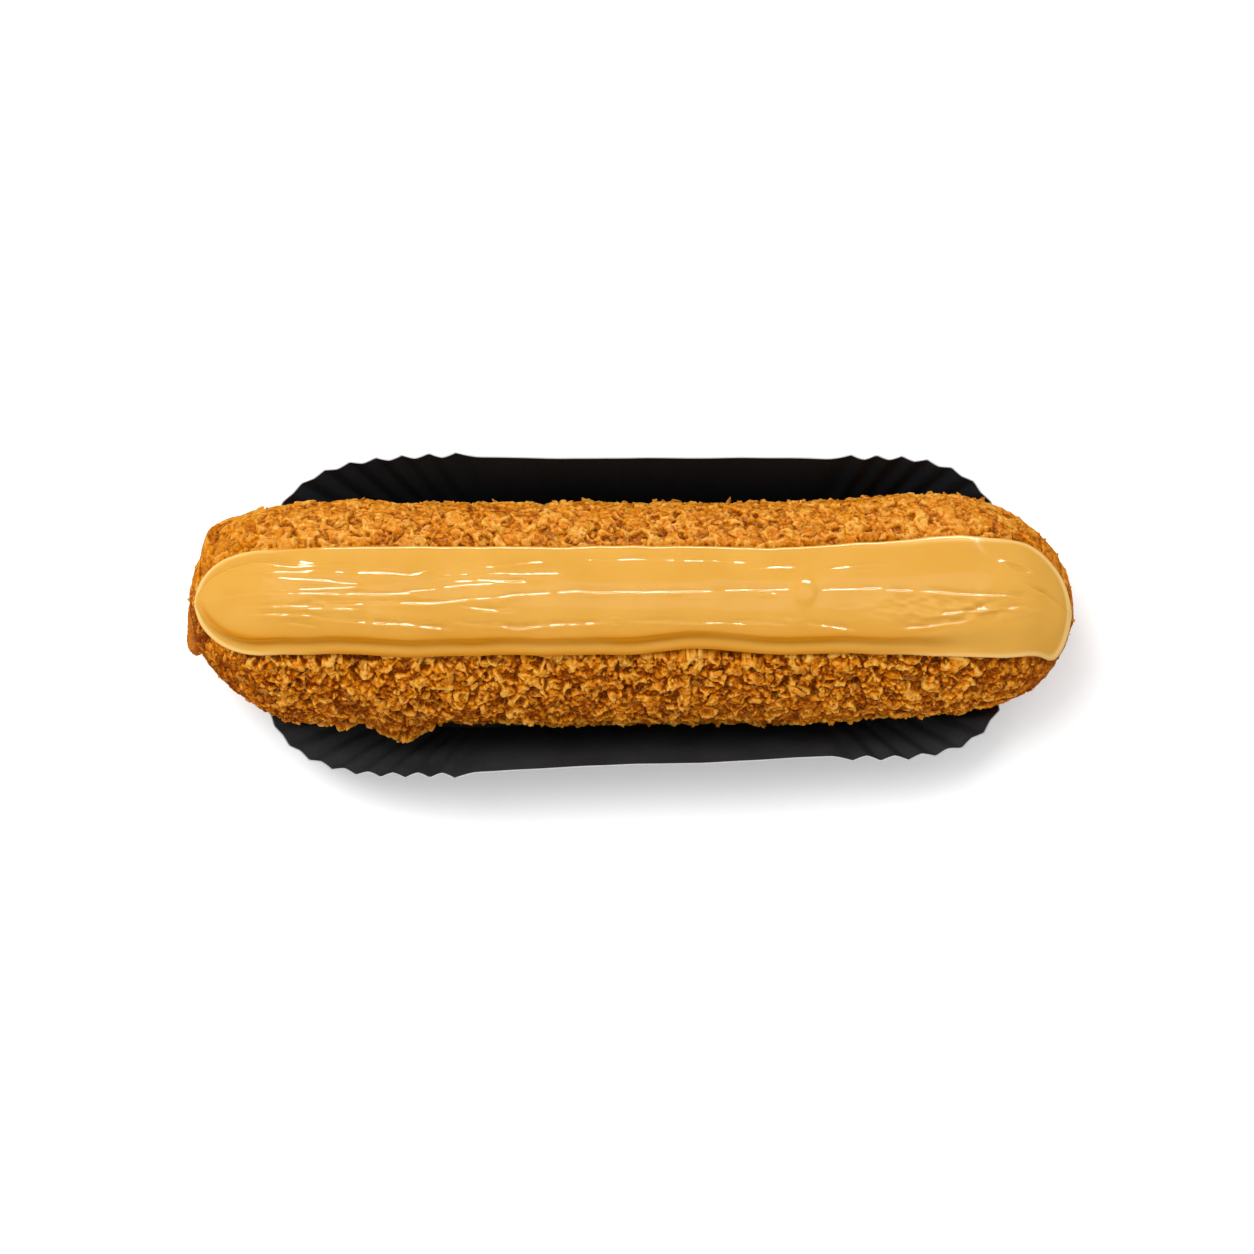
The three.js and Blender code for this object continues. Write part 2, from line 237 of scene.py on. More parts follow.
def bends(x, *parts):
    """The sum of several slow bends, each of a size that it reaches between two places."""
    return sum(size * ease(x, low, high) for size, low, high in parts)


def drawn_out(x, y, length):
    """Places in plan for a noise that is drawn out so many times along the eclair."""
    return np.stack([x / length, y, 0 * x], -1)


def signed_power(value, power):
    """The size of a value raised to a power, with the value's own sign."""
    return np.sign(value) * np.abs(value) ** power


def cap_share(from_tip, length, power):
    """How far a superellipse cap is open, from 0 at its tip to 1 at its root."""
    left = np.clip(1 - from_tip / length, 0, 1)
    return (1 - left ** power) ** (1 / power)


def lattice(cells, seed):
    """A repeatable number from 0 to 1 for each whole-number place.

    The place's three numbers are multiplied by large numbers, added up, mixed and cut to 32 bits."""
    mixed = (cells * np.array([374761393, 668265263, 1274126177])).sum(-1) + seed * 144665
    mixed = mixed & 0xFFFFFFFF
    mixed = ((mixed ^ (mixed >> 13)) * 1103515245) & 0xFFFFFFFF
    mixed = ((mixed ^ (mixed >> 16)) * 69069) & 0xFFFFFFFF
    return (mixed ^ (mixed >> 15)) / 0xFFFFFFFF


def smooth_noise(points, size, seed):
    """Noise from -1 to 1: a random value at each corner of a grid of that size, eased between the corners."""
    scaled = points @ ASLANT / size
    cell = np.floor(scaled).astype(np.int64)
    part = ease(scaled - cell, 0, 1)
    total = np.zeros(points.shape[:-1])
    for corner in np.ndindex(2, 2, 2):
        step = np.array(corner)
        weight = np.where(step, part, 1 - part).prod(-1)
        total += weight * lattice(cell + step, seed)
    return 2 * total - 1


def chunks(points, size, seed):
    """Random cells of about a size, each round one random point in each cell of a grid.

    Gives the distance to the nearest point, in cells, that point's own tone from 0 to 1, and a tilt, the way
    from the point along the cell's own direction."""
    scaled = points @ ASLANT / size
    cell = np.floor(scaled).astype(np.int64)
    nearest = np.full(points.shape[:-1], 9.0)
    tone = np.zeros(points.shape[:-1])
    away = np.zeros(points.shape)
    for offset in np.ndindex(3, 3, 3):
        place = cell + np.array(offset) - 1
        centre = place + np.stack([lattice(place, seed + axis) for axis in range(3)], -1)
        distance = np.linalg.norm(scaled - centre, axis=-1)
        closer = distance < nearest
        nearest = np.where(closer, distance, nearest)
        tone = np.where(closer, lattice(place, seed + 3), tone)
        away = np.where(closer[..., None], scaled - centre, away)
    turn = 2 * np.pi * ((tone * 97) % 1)
    lift = 2 * ((tone * 31) % 1) - 1
    flat = np.sqrt(1 - lift ** 2)
    tilt = away[..., 0] * flat * np.cos(turn) + away[..., 1] * flat * np.sin(turn) + away[..., 2] * lift
    return nearest, tone, tilt


def blurred(values, times):
    """A grid smoothed: each value takes half of itself and a quarter of each neighbour, so many times."""
    for _ in range(times):
        padded = np.pad(values, 1, mode="edge")
        values = (padded[:-2, 1:-1] + 2 * padded[1:-1, 1:-1] + padded[2:, 1:-1]) / 4
        padded = np.pad(values, 1, mode="edge")
        values = (padded[1:-1, :-2] + 2 * padded[1:-1, 1:-1] + padded[1:-1, 2:]) / 4
    return values


def unit(vectors):
    """Each vector at length 1."""
    return vectors / np.maximum(np.linalg.norm(vectors, axis=-1, keepdims=True), 1e-9)


# Meshes

def loft_faces(rings, size):
    """Corner indices of a closed loft: a point at each end, and quads between rings of equal length."""
    ring, place = np.meshgrid(np.arange(rings - 1), np.arange(size), indexing="ij")
    after = (place + 1) % size
    start = 1 + ring * size
    quads = np.stack([start + place, start + after, start + size + after, start + size + place], -1)
    place = np.arange(size)
    after = (place + 1) % size
    last = 1 + (rings - 1) * size
    end = 1 + rings * size
    first_fan = np.stack([np.zeros(size, int), 1 + after, 1 + place], -1)
    last_fan = np.stack([np.full(size, end), last + place, last + after], -1)
    return quads.reshape(-1, 4), np.concatenate([first_fan, last_fan])


def mesh_piece(name, points, quads, triangles, material, smooth=True, **attributes):
    """A new object at the origin: points in millimetres, quads and triangles, and values for each point."""
    mesh = bpy.data.meshes.new(name)
    corners = np.concatenate([quads.ravel(), triangles.ravel()]).astype(np.int32)
    totals = np.concatenate([np.full(len(quads), 4), np.full(len(triangles), 3)]).astype(np.int32)
    mesh.vertices.add(len(points))
    mesh.vertices.foreach_set("co", (points * MM).astype(np.float32).ravel())
    mesh.loops.add(len(corners))
    mesh.loops.foreach_set("vertex_index", corners)
    mesh.polygons.add(len(totals))
    mesh.polygons.foreach_set("loop_start", np.concatenate([[0], np.cumsum(totals)[:-1]]).astype(np.int32))
    mesh.polygons.foreach_set("use_smooth", np.broadcast_to(smooth, len(totals)))
    for key, values in attributes.items():
        attribute = mesh.attributes.new(key, "FLOAT", "POINT")
        attribute.data.foreach_set("value", values.astype(np.float32).ravel())
    mesh.update(calc_edges=True)
    mesh.validate()
    mesh.materials.append(material)
    piece = bpy.data.objects.new(name, mesh)
    bpy.context.scene.collection.objects.link(piece)
    return piece


def loft_piece(name, first, rings, last, material, inner=0, **attributes):
    """A closed body through rings of points, with one point closing each end.

    The last few strips of each ring may be inner ones, which close a half: flat and out of sight."""
    count, size = rings.shape[:2]
    points = np.concatenate([[first], rings.reshape(-1, 3), [last]])
    padded = {key: np.concatenate([[values[0].mean()], values.ravel(), [values[-1].mean()]])
              for key, values in attributes.items()}
    quads, fans = loft_faces(count, size)
    strip = np.concatenate([np.tile(np.arange(size), count - 1), np.tile(np.arange(size), 2)])
    return mesh_piece(name, points, quads, fans, material, smooth=strip < size - inner, **padded)


def stations(left, right, caps, cap_rings, middle_rings):
    """Places along X: evenly turned round two elliptic caps and evenly spaced between them."""
    turn = np.arange(1, cap_rings) / cap_rings * np.pi / 2
    start = left + caps[0] * (1 - np.cos(turn))
    end = right - caps[1] * (1 - np.cos(turn))
    middle = np.linspace(left + caps[0], right - caps[1], middle_rings)
    return np.concatenate([start, middle, end[::-1]])


def grid_normals(points):
    """Outward directions of a grid: the cross product of its steps round and along."""
    return unit(np.cross(np.gradient(points, axis=1), np.gradient(points, axis=0)))


def tube_rings(path, radii, sides, raggedness, rng):
    """Rings round a path: circles of the given radii square to it, each point moved in or out by chance."""
    along = unit(np.gradient(path, axis=0))
    first = unit(np.cross(along, [0.0, 0.0, 1.0]))
    second = np.cross(along, first)
    turn = np.arange(sides) / sides * 2 * np.pi
    ragged = 1 + raggedness * rng.uniform(-1, 1, (len(path), sides))
    reach = (radii[:, None] * ragged)[..., None]
    circle = np.cos(turn)[None, :, None] * first[:, None] + np.sin(turn)[None, :, None] * second[:, None]
    return path[:, None] + reach * circle


def frames_from(normals, spin):
    """For each normal, three axes at right angles: two in the surface, turned by the spin, and the normal."""
    helper = np.where(np.abs(normals[:, :1]) > 0.8, [[0.0, 1.0, 0.0]], [[1.0, 0.0, 0.0]])
    first = unit(np.cross(helper, normals))
    second = np.cross(normals, first)
    cos, sin = np.cos(spin)[:, None], np.sin(spin)[:, None]
    return np.stack([cos * first + sin * second, cos * second - sin * first, normals], 1)


# The bun's form

def bun_bend(x):
    """How far the bun's middle line lies to the back: it bends that way near the right end."""
    return bends(x, *BENDS)


def bun_section(x):
    """Centre, half width, widest level, rise and drop of the bun at x: quarter ellipses at the caps."""
    from_left, from_right = x - BUN_LEFT, BUN_RIGHT - x
    open_ = np.minimum(cap_share(from_left, BUN_CAPS[0], 2), cap_share(from_right, BUN_CAPS[1], 2))
    sole = np.minimum(cap_share(from_left, SOLE_CAP, 2), cap_share(from_right, SOLE_CAP, 2))
    lift = TIP_LIFT * (1 - open_)
    centre = bun_bend(x) + bends(-x, LEFT_BEND)
    return centre, BUN_HALF * open_, BUN_LEVEL + lift, BUN_RISE * open_, (BUN_DROP + lift) * sole


def bun_surface(x, angle, floor):
    """The smooth bun: a superellipse round each station, flatter below, cut off level at the floor."""
    centre, half, level, rise, drop = bun_section(x)
    up = np.sin(angle) > 0
    power = np.where(up, 2 / UPPER_POWER, 2 / LOWER_POWER)
    y = centre + half * signed_power(np.cos(angle), power)
    z = level + np.where(up, rise, drop) * signed_power(np.sin(angle), power)
    return np.stack(np.broadcast_arrays(x, y, np.maximum(z, floor)), -1)


def bun_top(x, y):
    """The height of the smooth bun's upper side over a place."""
    centre, half, level, rise, _ = bun_section(x)
    across = np.clip(np.abs(y - centre) / np.maximum(half, 1e-6), 0, 1)
    return level + rise * (1 - across ** UPPER_POWER) ** (1 / UPPER_POWER)


# The icing's form

def icing_plan(x):
    """The icing's middle line and half width at x, before its edge wavers: its caps are superellipses."""
    slip = bends(-x, LEFT_SLIP) + bends(x, RIGHT_SLIP)
    open_ = np.minimum(
        cap_share(x - ICING_LEFT, ICING_CAPS[0], ICING_CAP_POWERS[0]),
        cap_share(ICING_RIGHT - x, ICING_CAPS[1], ICING_CAP_POWERS[1]),
    )
    return ICING_BACK + BEND_SHARE * bun_bend(x) + slip, (ICING_HALF + bends(x, WIDENING)) * open_


def icing_half(x, across):
    """The half width on one side: the plan's and a waver, and in front swells and the drip, each a hill."""
    _, half = icing_plan(x)
    side = 40.0 * np.sign(across)
    waver = sum(reach * smooth_noise(drawn_out(x, side, 1), length, SEED + 40 + number)
                for number, (reach, length) in enumerate(WAVERS))
    swells = sum(reach * hill(x - at, length) for reach, at, length in FRONT_SWELLS)
    drip = DRIP[0] * hill(x - DRIP[1], DRIP[2]) * np.minimum(1, half / 3)
    front = across < 0
    return half + (waver + np.where(front, swells, 0)) * np.minimum(1, half / 6) + np.where(front, drip, 0)


def icing_inset(x, y):
    """How far a place lies inside the icing's edge, in plan, and negative outside it.

    It is the way to the edge straight across, less where the edge runs aslant."""
    step, far_out = 0.05, -4.0
    centre, half = icing_plan(x)
    slope = (icing_plan(x + step)[1] - icing_plan(x - step)[1]) / (2 * step)
    inside = icing_half(x, np.sign(y - centre)) - np.abs(y - centre)
    inset = inside / np.hypot(1, slope)
    return np.where((x <= ICING_LEFT) | (x >= ICING_RIGHT), far_out, inset)


def thick_edge(x, y):
    """1 where the icing is thick right up to its edge, which is along the back, and 0 elsewhere."""
    centre, _ = icing_plan(x)
    return ease(y - centre, -1.5, 2.5) * ease(x, -58, -48)


def stroke_relief(x, y):
    """Each stroke is a step down to the back across its line: -step tanh(s / width) exp(-(s / reach)^2).

    It wanders, comes and goes along its length and fades out at its ends. Fine streaks run beside it."""
    relief = np.zeros(x.shape)
    near = np.zeros(x.shape)
    for number, (line, step) in enumerate(STROKES):
        at = np.array(line, float)
        along = drawn_out(x, np.full(x.shape, 10.0 * number), 1)
        middle = np.interp(x, at[:, 0], at[:, 1]) + STROKE_WANDER * smooth_noise(along, 3.5, SEED + 70)
        away = y - middle
        fade = ease(x, at[0, 0] - 1, at[0, 0] + 3) * (1 - ease(x, at[-1, 0] - 3, at[-1, 0] + 1))
        dashes = 0.8 * smooth_noise(along, 2.6, SEED + 74) + 0.85 * smooth_noise(along, 0.9, SEED + 75)
        strength = step * fade * (1.2 + dashes)
        relief -= strength * np.tanh(away / STROKE_WIDTH) * hill(away, STROKE_REACH)
        near = np.maximum(near, fade * hill(away - 0.2, 0.55))
    streaks = smooth_noise(drawn_out(x, y, 9), 0.32, SEED + 76)
    return relief + STREAK_HEIGHT * near * streaks


def hollow(distance, rim, depth):
    """A hollow of radius 1 with a raised rim: a hill round the circle, less a flat-topped hill inside it."""
    return rim * hill(distance - 1, 0.3) - depth * hill(distance, 0.9, 4)


def bubble_relief(x, y):
    """A blister with a sunk middle, the ring of a burst bubble, and two hollows, the dent and the trough."""
    at_x, at_y, radius = BLISTER
    blister = np.hypot(x - at_x, y - at_y)
    relief = 0.42 * hill(blister, radius, 4) * (1 - 0.25 * hill(blister, 0.9))
    at_x, at_y, radius = BURST
    relief += 0.09 * hill(np.hypot(x - at_x, y - at_y) - radius, 0.17)
    at_x, at_y, length, width = DENT
    along = (x - at_x) * np.cos(DENT_TURN) - (y - at_y) * np.sin(DENT_TURN)
    over = (x - at_x) * np.sin(DENT_TURN) + (y - at_y) * np.cos(DENT_TURN)
    relief += hollow(np.hypot(along / length, over / width), 0.2, 0.3)
    at_x, at_y, length, width = TROUGH
    along, over = x - at_x, y - at_y - TROUGH_SLOPE * (x - at_x)
    return relief + hollow(np.hypot(along / length, over / width), 0.05, 0.07)


def icing_height(settings, x, y):
    """Height over the bun: a round lip, a thin foot, a steep shoulder and a crown with its marks.

    Along the back and at the right end the foot is thick, so that the edge there is one full rounded bank."""
    inset = np.maximum(0, icing_inset(x, y))
    plump, at_right, round_end = thick_edge(x, y), ease(x, 42, 60), ease(x, 52, 64)
    soft = np.maximum(plump, at_right)
    foot, crown = settings.foot / MM, settings.crown / MM * (1 - 0.12 * ease(x, 58, 70))
    foot = foot + (crown - 0.5 - foot) * plump * (1 - round_end) + 0.9 * round_end
    width = settings.foot_width / MM * (1 - 0.7 * soft)
    lip = np.sqrt(1 - (1 - np.minimum(1, inset / (0.9 + 1.1 * round_end))) ** 2)
    shoulder = ease(inset, width, width + 1.3 + 4 * soft)
    dome = 0.55 * ease(inset, width, ICING_HALF)
    places = drawn_out(x, y, 2.5)
    drift = 0.12 * smooth_noise(places, 5.0, SEED + 71) + 0.05 * smooth_noise(places, 2.2, SEED + 72)
    wet = sum(share * np.exp(-(((x - at_x) / along) ** 2 + ((y - at_y) / over) ** 2))
              for share, at_x, along, at_y, over in WET_PATCHES)
    ripple = RIPPLE * wet * smooth_noise(drawn_out(x, y, 2.2), 0.65, SEED + 73)
    height = foot * lip + (crown - 0.55 - foot) * shoulder + dome
    return height + shoulder * (drift + ripple + stroke_relief(x, y) + bubble_relief(x, y))


def icing_painted_shade(settings, x, y):
    """How much painted shade deepens the colour, in front alone, where the light from the back falls least.

    It is painted in a band at the foot of the shoulder, on the crown's slope and along the very edge, where
    the icing meets the crust."""
    inset = icing_inset(x, y)
    width = settings.foot_width / MM
    centre, _ = icing_plan(x)
    front = ease(centre - y, -1.0, 3.0)
    uneven = 1 + 0.4 * smooth_noise(drawn_out(x, 0 * x, 7), 1.0, SEED + 77)
    band = uneven * hill(inset - width - 0.1, 0.7)
    slope = ease(centre - y, 2.0, 6.5) * ease(inset, width - 0.3, width + 0.3)
    edge = 0.85 * hill(inset, 0.65) * ease(x, -56, -44)
    return front * (1 - ease(x, 40, 56)) * np.clip(0.8 * band + 0.32 * slope + edge, 0, 1)


def icing_painted_rim_highlight(x, y):
    """How near a place is to the thin rim at both ends of the icing, where a painted highlight stands for the
    light that the rim reflects, together with its own paler colour.
    """
    ends = ease(x, 30, 62) + ease(-x, 52, 64)
    return ends * hill(np.maximum(icing_inset(x, y), 0), 0.4)


# The crust's relief

def back_share(points):
    """From 0 in front to 1 at the back, where the crust is calmer, and painted paler for the light from the
    back.
    """
    return ease(points[..., 1], -6, 6)


def crust_relief(points, size):
    """How far the crust stands out at each place, and the tone of the chunk there.

    Random cells of two sizes in a warped space, each domed, raised and tilted by chance, with broad clusters,
    thin walls, pits and the single lumps. It fades under the icing, on the sole and towards the ends."""
    drift = np.stack([smooth_noise(points, 1.4, SEED + 30 + axis) for axis in range(3)], -1)
    warped = points + 0.45 * drift
    near, tone, tilt = chunks(warped, CHUNK_SIZES[0] * size, SEED)
    fine_near, fine_tone, fine_tilt = chunks(warped, CHUNK_SIZES[1] * size, SEED + 9)
    forms = {
        "dome": 1 - near ** 2,
        "step": tone - 0.5,
        "tilt": tilt,
        "grain": np.sqrt(1 - np.clip(fine_near / 0.8, 0, 1) ** 2),
        "fine step": fine_tone - 0.5,
        "fine tilt": fine_tilt,
        "wall": 1.5 * np.abs(smooth_noise(warped, 0.95, SEED + 22)) ** 0.8 - 0.5,
        "cluster": smooth_noise(points, 6.5, SEED + 20),
        "pit": ease(smooth_noise(warped, 1.7, SEED + 21), 0.32, 0.62),
        "everywhere": 1,
        "in front": 1 - back_share(points),
    }
    craggy = sum(CRAG_HEIGHTS[key] * form for key, form in forms.items())
    x, y, z = points[..., 0], points[..., 1], points[..., 2]
    inset = np.where(z < bun_section(x)[2], -9.0, icing_inset(x, y))
    bare = 1 - ease(inset, -0.3, 0.9)
    sole = 0.15 + 0.85 * ease(z, 1.5, 7)
    ends = 1 - 0.6 * ease(np.abs(x), 54, 69)
    back = 1 - 0.45 * back_share(points)
    relief = craggy * sole * (0.1 + 0.9 * bare) * ends * back
    relief = relief - UNDER_ICING * (1 - bare) - BESIDE_ICING * ease(inset, -1.8, -0.4)
    for at_x, side, at_z, out, along, round_ in LUMPS:
        centre, half, _, _, _ = bun_section(np.array(at_x))
        away = ((x - at_x) / along) ** 2
        away = away + ((y - (centre + side * half)) ** 2 + (z - at_z) ** 2) / round_ ** 2
        relief = relief + out * np.exp(-away)
    return relief, np.clip(0.6 * tone + 0.4 * fine_tone, 0, 1)


def crust_painted_light(points, relief):
    """The level of painted light and shade in the crust's colour, from 0 to 1.

    It is painted shade in the crevices and painted light on the crags, where the relief stands out of its own
    narrow and broad blurs. It is painted paler at the back and darker low down in front, as painted light and
    shade."""
    crest = relief - blurred(relief, 8)
    ridge = relief - blurred(relief, 80)
    back = back_share(points)
    # Painted shade low down in front, and painted light towards the back, for the light from the back.
    low = (1 - ease(points[..., 2], 16, 27.5)) * (0.43 - 0.35 * back)
    return np.clip(0.2 + 0.37 * back - low + (1.9 - 0.3 * back) * crest + (0.7 - 0.3 * back) * ridge, 0, 1)


# Crumbs

def crumb_shapes(rng, count, flatness, raggedness, curl):
    """Small closed lumps: two poles and three rings of eight points, on a squashed and ragged ball.

    Gives (count, 26, 3) points of about unit radius, and for each point how near it is to the lump's rim."""
    turn = np.arange(CRUMB_SIDES) / CRUMB_SIDES * 2 * np.pi
    heights = np.array([0.75, 0.0, -0.75])
    radii = np.array([0.72, 1.0, 0.72])
    outline = 1 + raggedness * rng.uniform(-1, 1, (count, 1, CRUMB_SIDES))
    wobble = 1 + raggedness * rng.uniform(-1, 1, (count, CRUMB_RINGS, CRUMB_SIDES))
    radius = radii[None, :, None] * outline * wobble
    x = radius * np.cos(turn)
    y = radius * np.sin(turn)
    z = heights[None, :, None] * flatness * (1 + 0.6 * rng.uniform(-1, 1, (count, CRUMB_RINGS, CRUMB_SIDES)))
    rings = np.stack([x, y, z], -1).reshape(count, CRUMB_RINGS * CRUMB_SIDES, 3)
    poles = np.zeros((count, 2, 3))
    poles[:, 0, 2] = flatness * rng.uniform(0.7, 1.2, count)
    poles[:, 1, 2] = -flatness
    points = np.concatenate([poles[:, :1], rings, poles[:, 1:]], 1)
    bow = curl * rng.uniform(-0.3, 1.0, (count, 1))
    points[..., 2] += bow * (points[..., 0] ** 2 - 0.3)
    rim = np.concatenate([[0.1], np.repeat([0.45, 1.0, 0.6], CRUMB_SIDES), [0.2]])
    return points, np.broadcast_to(rim, (count, CRUMB_POINTS))


def crumb_faces(count):
    """Corner indices of that many lumps, wound so that they face outward."""
    quads, fans = loft_faces(CRUMB_RINGS, CRUMB_SIDES)
    quads, fans = quads[:, ::-1], fans[:, ::-1]
    shift = (np.arange(count) * CRUMB_POINTS)[:, None, None]
    return (quads + shift).reshape(-1, 4), (fans + shift).reshape(-1, 3)


class Eclair:
    """What the crust's operator leaves for the crumbs: each half's grid of points, normals and tones."""

    points = None
    normals = None
    tones = None


def scatter(rng, count):
    """Random places on the bare crust, by area, off the icing and the sole: points, normals and tones."""
    spots, directions, tones = [], [], []
    for grid, normals, tone in zip(Eclair.points, Eclair.normals, Eclair.tones):
        size = grid.shape[1]
        length = np.linalg.norm(np.diff(grid, axis=0), axis=-1)[:, :-1]
        area = (length * np.linalg.norm(np.diff(grid, axis=1), axis=-1)[:-1]).ravel()
        picked = rng.choice(len(area), size=count, p=area / area.sum())
        ring, place = picked // (size - 1), picked % (size - 1)
        a, b = rng.random((2, len(picked), 1))
        spot = (grid[ring, place] * (1 - a) + grid[ring + 1, place] * a) * (1 - b)
        spots.append(spot + (grid[ring, place + 1] * (1 - a) + grid[ring + 1, place + 1] * a) * b)
        directions.append(normals[ring, place])
        tones.append(tone[ring, place])
    spot, normal, tone = np.concatenate(spots), np.concatenate(directions), np.concatenate(tones)
    clear = (spot[:, 2] < bun_section(spot[:, 0])[2]) | (icing_inset(spot[:, 0], spot[:, 1]) < 0.25)
    keep = rng.permutation(np.flatnonzero(clear & (spot[:, 2] > LOWEST_CRUMB)))[:count]
    return spot[keep], normal[keep], tone[keep]


def crumb_piece(kind, count, material):
    """One kind of crumb, scattered over the crust: each a lump turned, stretched, leaned and sunk by chance.

    Crumbs are smaller at the ends, and small and flat beside the icing."""
    seed, (least, most), flatness, raggedness, curl, lean, out = CRUMBS[kind]
    rng = np.random.default_rng(SEED + seed)
    spot, normal, tone = scatter(rng, count)
    count = len(spot)
    calm = 1 - 0.4 * ease(np.abs(spot[:, 0]), 54, 68)
    upper = spot[:, 2] > bun_section(spot[:, 0])[2]
    near_icing = upper * ease(icing_inset(spot[:, 0], spot[:, 1]), -1.6, 0.2)
    scale = least + (most - least) * rng.random(count) ** 2
    scale = scale * calm * (1 - 0.35 * near_icing)
    tipped = unit(normal + lean * (1 - 0.5 * near_icing)[:, None] * rng.normal(0, 1, (count, 3)))
    axes = frames_from(tipped, rng.uniform(0, 2 * np.pi, count))
    shape, rim = crumb_shapes(rng, count, flatness, raggedness, curl)
    ranges = ((1.0, 1.5), (0.65, 1.0), (0.8, 1.2))
    stretch = np.stack([rng.uniform(low, high, count) for low, high in ranges], -1)
    local = shape * (stretch * scale[:, None])[:, None, :]
    lift = (scale * out - 0.25 * near_icing)[:, None]
    points = np.einsum("nvk,nkc->nvc", local, axes) + (spot + normal * lift)[:, None, :]
    quads, fans = crumb_faces(count)
    tone = np.repeat(np.clip(tone + rng.uniform(-0.2, 0.2, count), 0, 1), CRUMB_POINTS)
    # Painted light and shade: each crumb is painted paler on its top and darker underneath, as the light
    # falls on it.
    depth = np.clip(0.36 + 0.25 * (shape[..., 2] / max(flatness, 0.2)), 0.1, 1)
    piece = mesh_piece("crust_" + kind, points.reshape(-1, 3), quads, fans, material,
                       tone=tone, rim=rim.ravel(), depth=depth.ravel())
    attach(piece, "root")
    return piece


# The paper case's form

def case_end(outline, side, count):
    """Points round one end of the case from back to front, evenly spaced on a superellipse."""
    left, from_, to, right, back, front = outline
    root, reach = (from_, left - from_) if side < 0 else (to, right - to)
    front = front - FRONT_TAPER * root
    turn = np.linspace(np.pi / 2, -np.pi / 2, 2001)
    power = 2 / CORNER_POWER
    x = root + reach * signed_power(np.clip(np.cos(turn), 0, 1), power)
    y = np.where(turn > 0, back, front) * signed_power(np.sin(turn), power)
    length = np.concatenate([[0], np.cumsum(np.hypot(np.diff(x), np.diff(y)))])
    even = np.linspace(0, length[-1], count)
    return np.stack([np.interp(even, length, x), np.interp(even, length, y)], -1)


def case_outline(outline):
    """A closed outline: left end, front side, right end and back side."""
    left = case_end(outline, -1, PLEAT_STEPS * PLEATS[0] + 1)
    right = case_end(outline, 1, PLEAT_STEPS * PLEATS[1] + 1)[::-1]
    share = (np.arange(1, SIDE_STEPS) / SIDE_STEPS)[:, None]
    front = left[-1] * (1 - share) + right[0] * share
    back = right[-1] * (1 - share) + left[0] * share
    return np.concatenate([left, front, right, back])


def pleat_wave():
    """The fold at each point of the outline, from -1 to 1: sharp creases out, softer ones in, the sides in.

    Half is a triangle wave and half is 1 - 2 |sin|. The folds are a little wider at the back."""
    def end(pleats):
        share = np.linspace(0, 1, PLEAT_STEPS * pleats + 1)
        phase = pleats * (share - PLEAT_SKEW * share * (1 - share))
        zigzag = 4 * np.abs(phase - np.floor(phase) - 0.5) - 1
        return 0.5 * zigzag + 0.5 * (1 - 2 * np.abs(np.sin(np.pi * phase)))
    lead = 2 * np.clip(1 - np.arange(1, SIDE_STEPS) / 3.5, 0, 1) ** 1.5
    side = -1 + lead + lead[::-1]
    return np.concatenate([end(PLEATS[0]), side, end(PLEATS[1]), side])


def under_bun(x, y):
    """The height that the paper may reach: a little below the bun's sole, and no limit beside the bun."""
    clearance, lowest, no_limit = 1.0, 0.4, 99.0
    centre, half, level, _, drop = bun_section(np.clip(x, BUN_LEFT, BUN_RIGHT))
    across = np.abs(y - centre) / np.maximum(half + 1.1, 1e-6)
    sole = level - drop * (1 - np.clip(across, 0, 1) ** LOWER_POWER) ** (1 / LOWER_POWER)
    return np.where(across >= 1, no_limit, np.maximum(sole - clearance, lowest))


def on_ground(points):
    """Points in plan, put on the ground."""
    return np.concatenate([points, np.zeros((len(points), 1))], -1)


def case_walls(settings):
    """The case's outside and inside, as rows of points from the floor's edge up to the rim.

    Each wall leans from the floor's outline to the rim's at one slant length. Folds and crumples grow with
    its height, and it is pressed down wherever the bun lies on it."""
    paper, pleat = settings.paper / MM, settings.pleat / MM
    floor, rim = case_outline(FLOOR), case_outline(RIM)
    lean = on_ground(rim - floor)
    lean[:, 2] = np.sqrt(np.maximum(0, WALL_SLANT ** 2 - (lean[:, :2] ** 2).sum(-1)))
    normal = unit(np.cross(lean, on_ground(np.roll(rim, -1, 0) - np.roll(rim, 1, 0))))
    normal = normal * np.where(normal[:, 2:] > 0, -1, 1)
    share = WALL_ROWS[:, None, None]
    wall = on_ground(floor) + lean * share
    crumple = 0.3 * smooth_noise(wall, 16.0, SEED + 80) + 0.08 * smooth_noise(wall, 4.0, SEED + 81)
    depth = pleat * pleat_wave()[None, :] * share[..., 0] ** 0.85 + crumple * share[..., 0]
    outside = wall + normal * depth[..., None]
    inside = outside - normal * paper
    inside[0] = on_ground(floor) + [0, 0, paper]
    pressed = np.maximum(0, inside[..., 2] - under_bun(inside[..., 0], inside[..., 1]))
    pressed[0] = 0
    inside[..., 2] -= pressed
    outside[..., 2] = np.maximum(outside[..., 2] - pressed, 0)
    inside[..., 2] = np.maximum(inside[..., 2], outside[..., 2] + 0.6 * paper)
    return outside, inside


# Materials

def set_sockets(tree, node, values):
    """Gives a node's named or numbered inputs their links or plain values."""
    for key, value in values.items():
        if isinstance(value, bpy.types.NodeSocket):
            tree.links.new(value, node.inputs[key])
        else:
            node.inputs[key].default_value = value


def add(tree, kind, inputs=None, **settings):
    """A new shader node with its settings and its inputs, by name or number."""
    node = tree.nodes.new(kind)
    for key, value in settings.items():
        setattr(node, key, value)
    set_sockets(tree, node, inputs or {})
    return node


def value_of(tree, name):
    """The value that a mesh carries for each point under that name."""
    return add(tree, "ShaderNodeAttribute", attribute_name=name).outputs["Fac"]


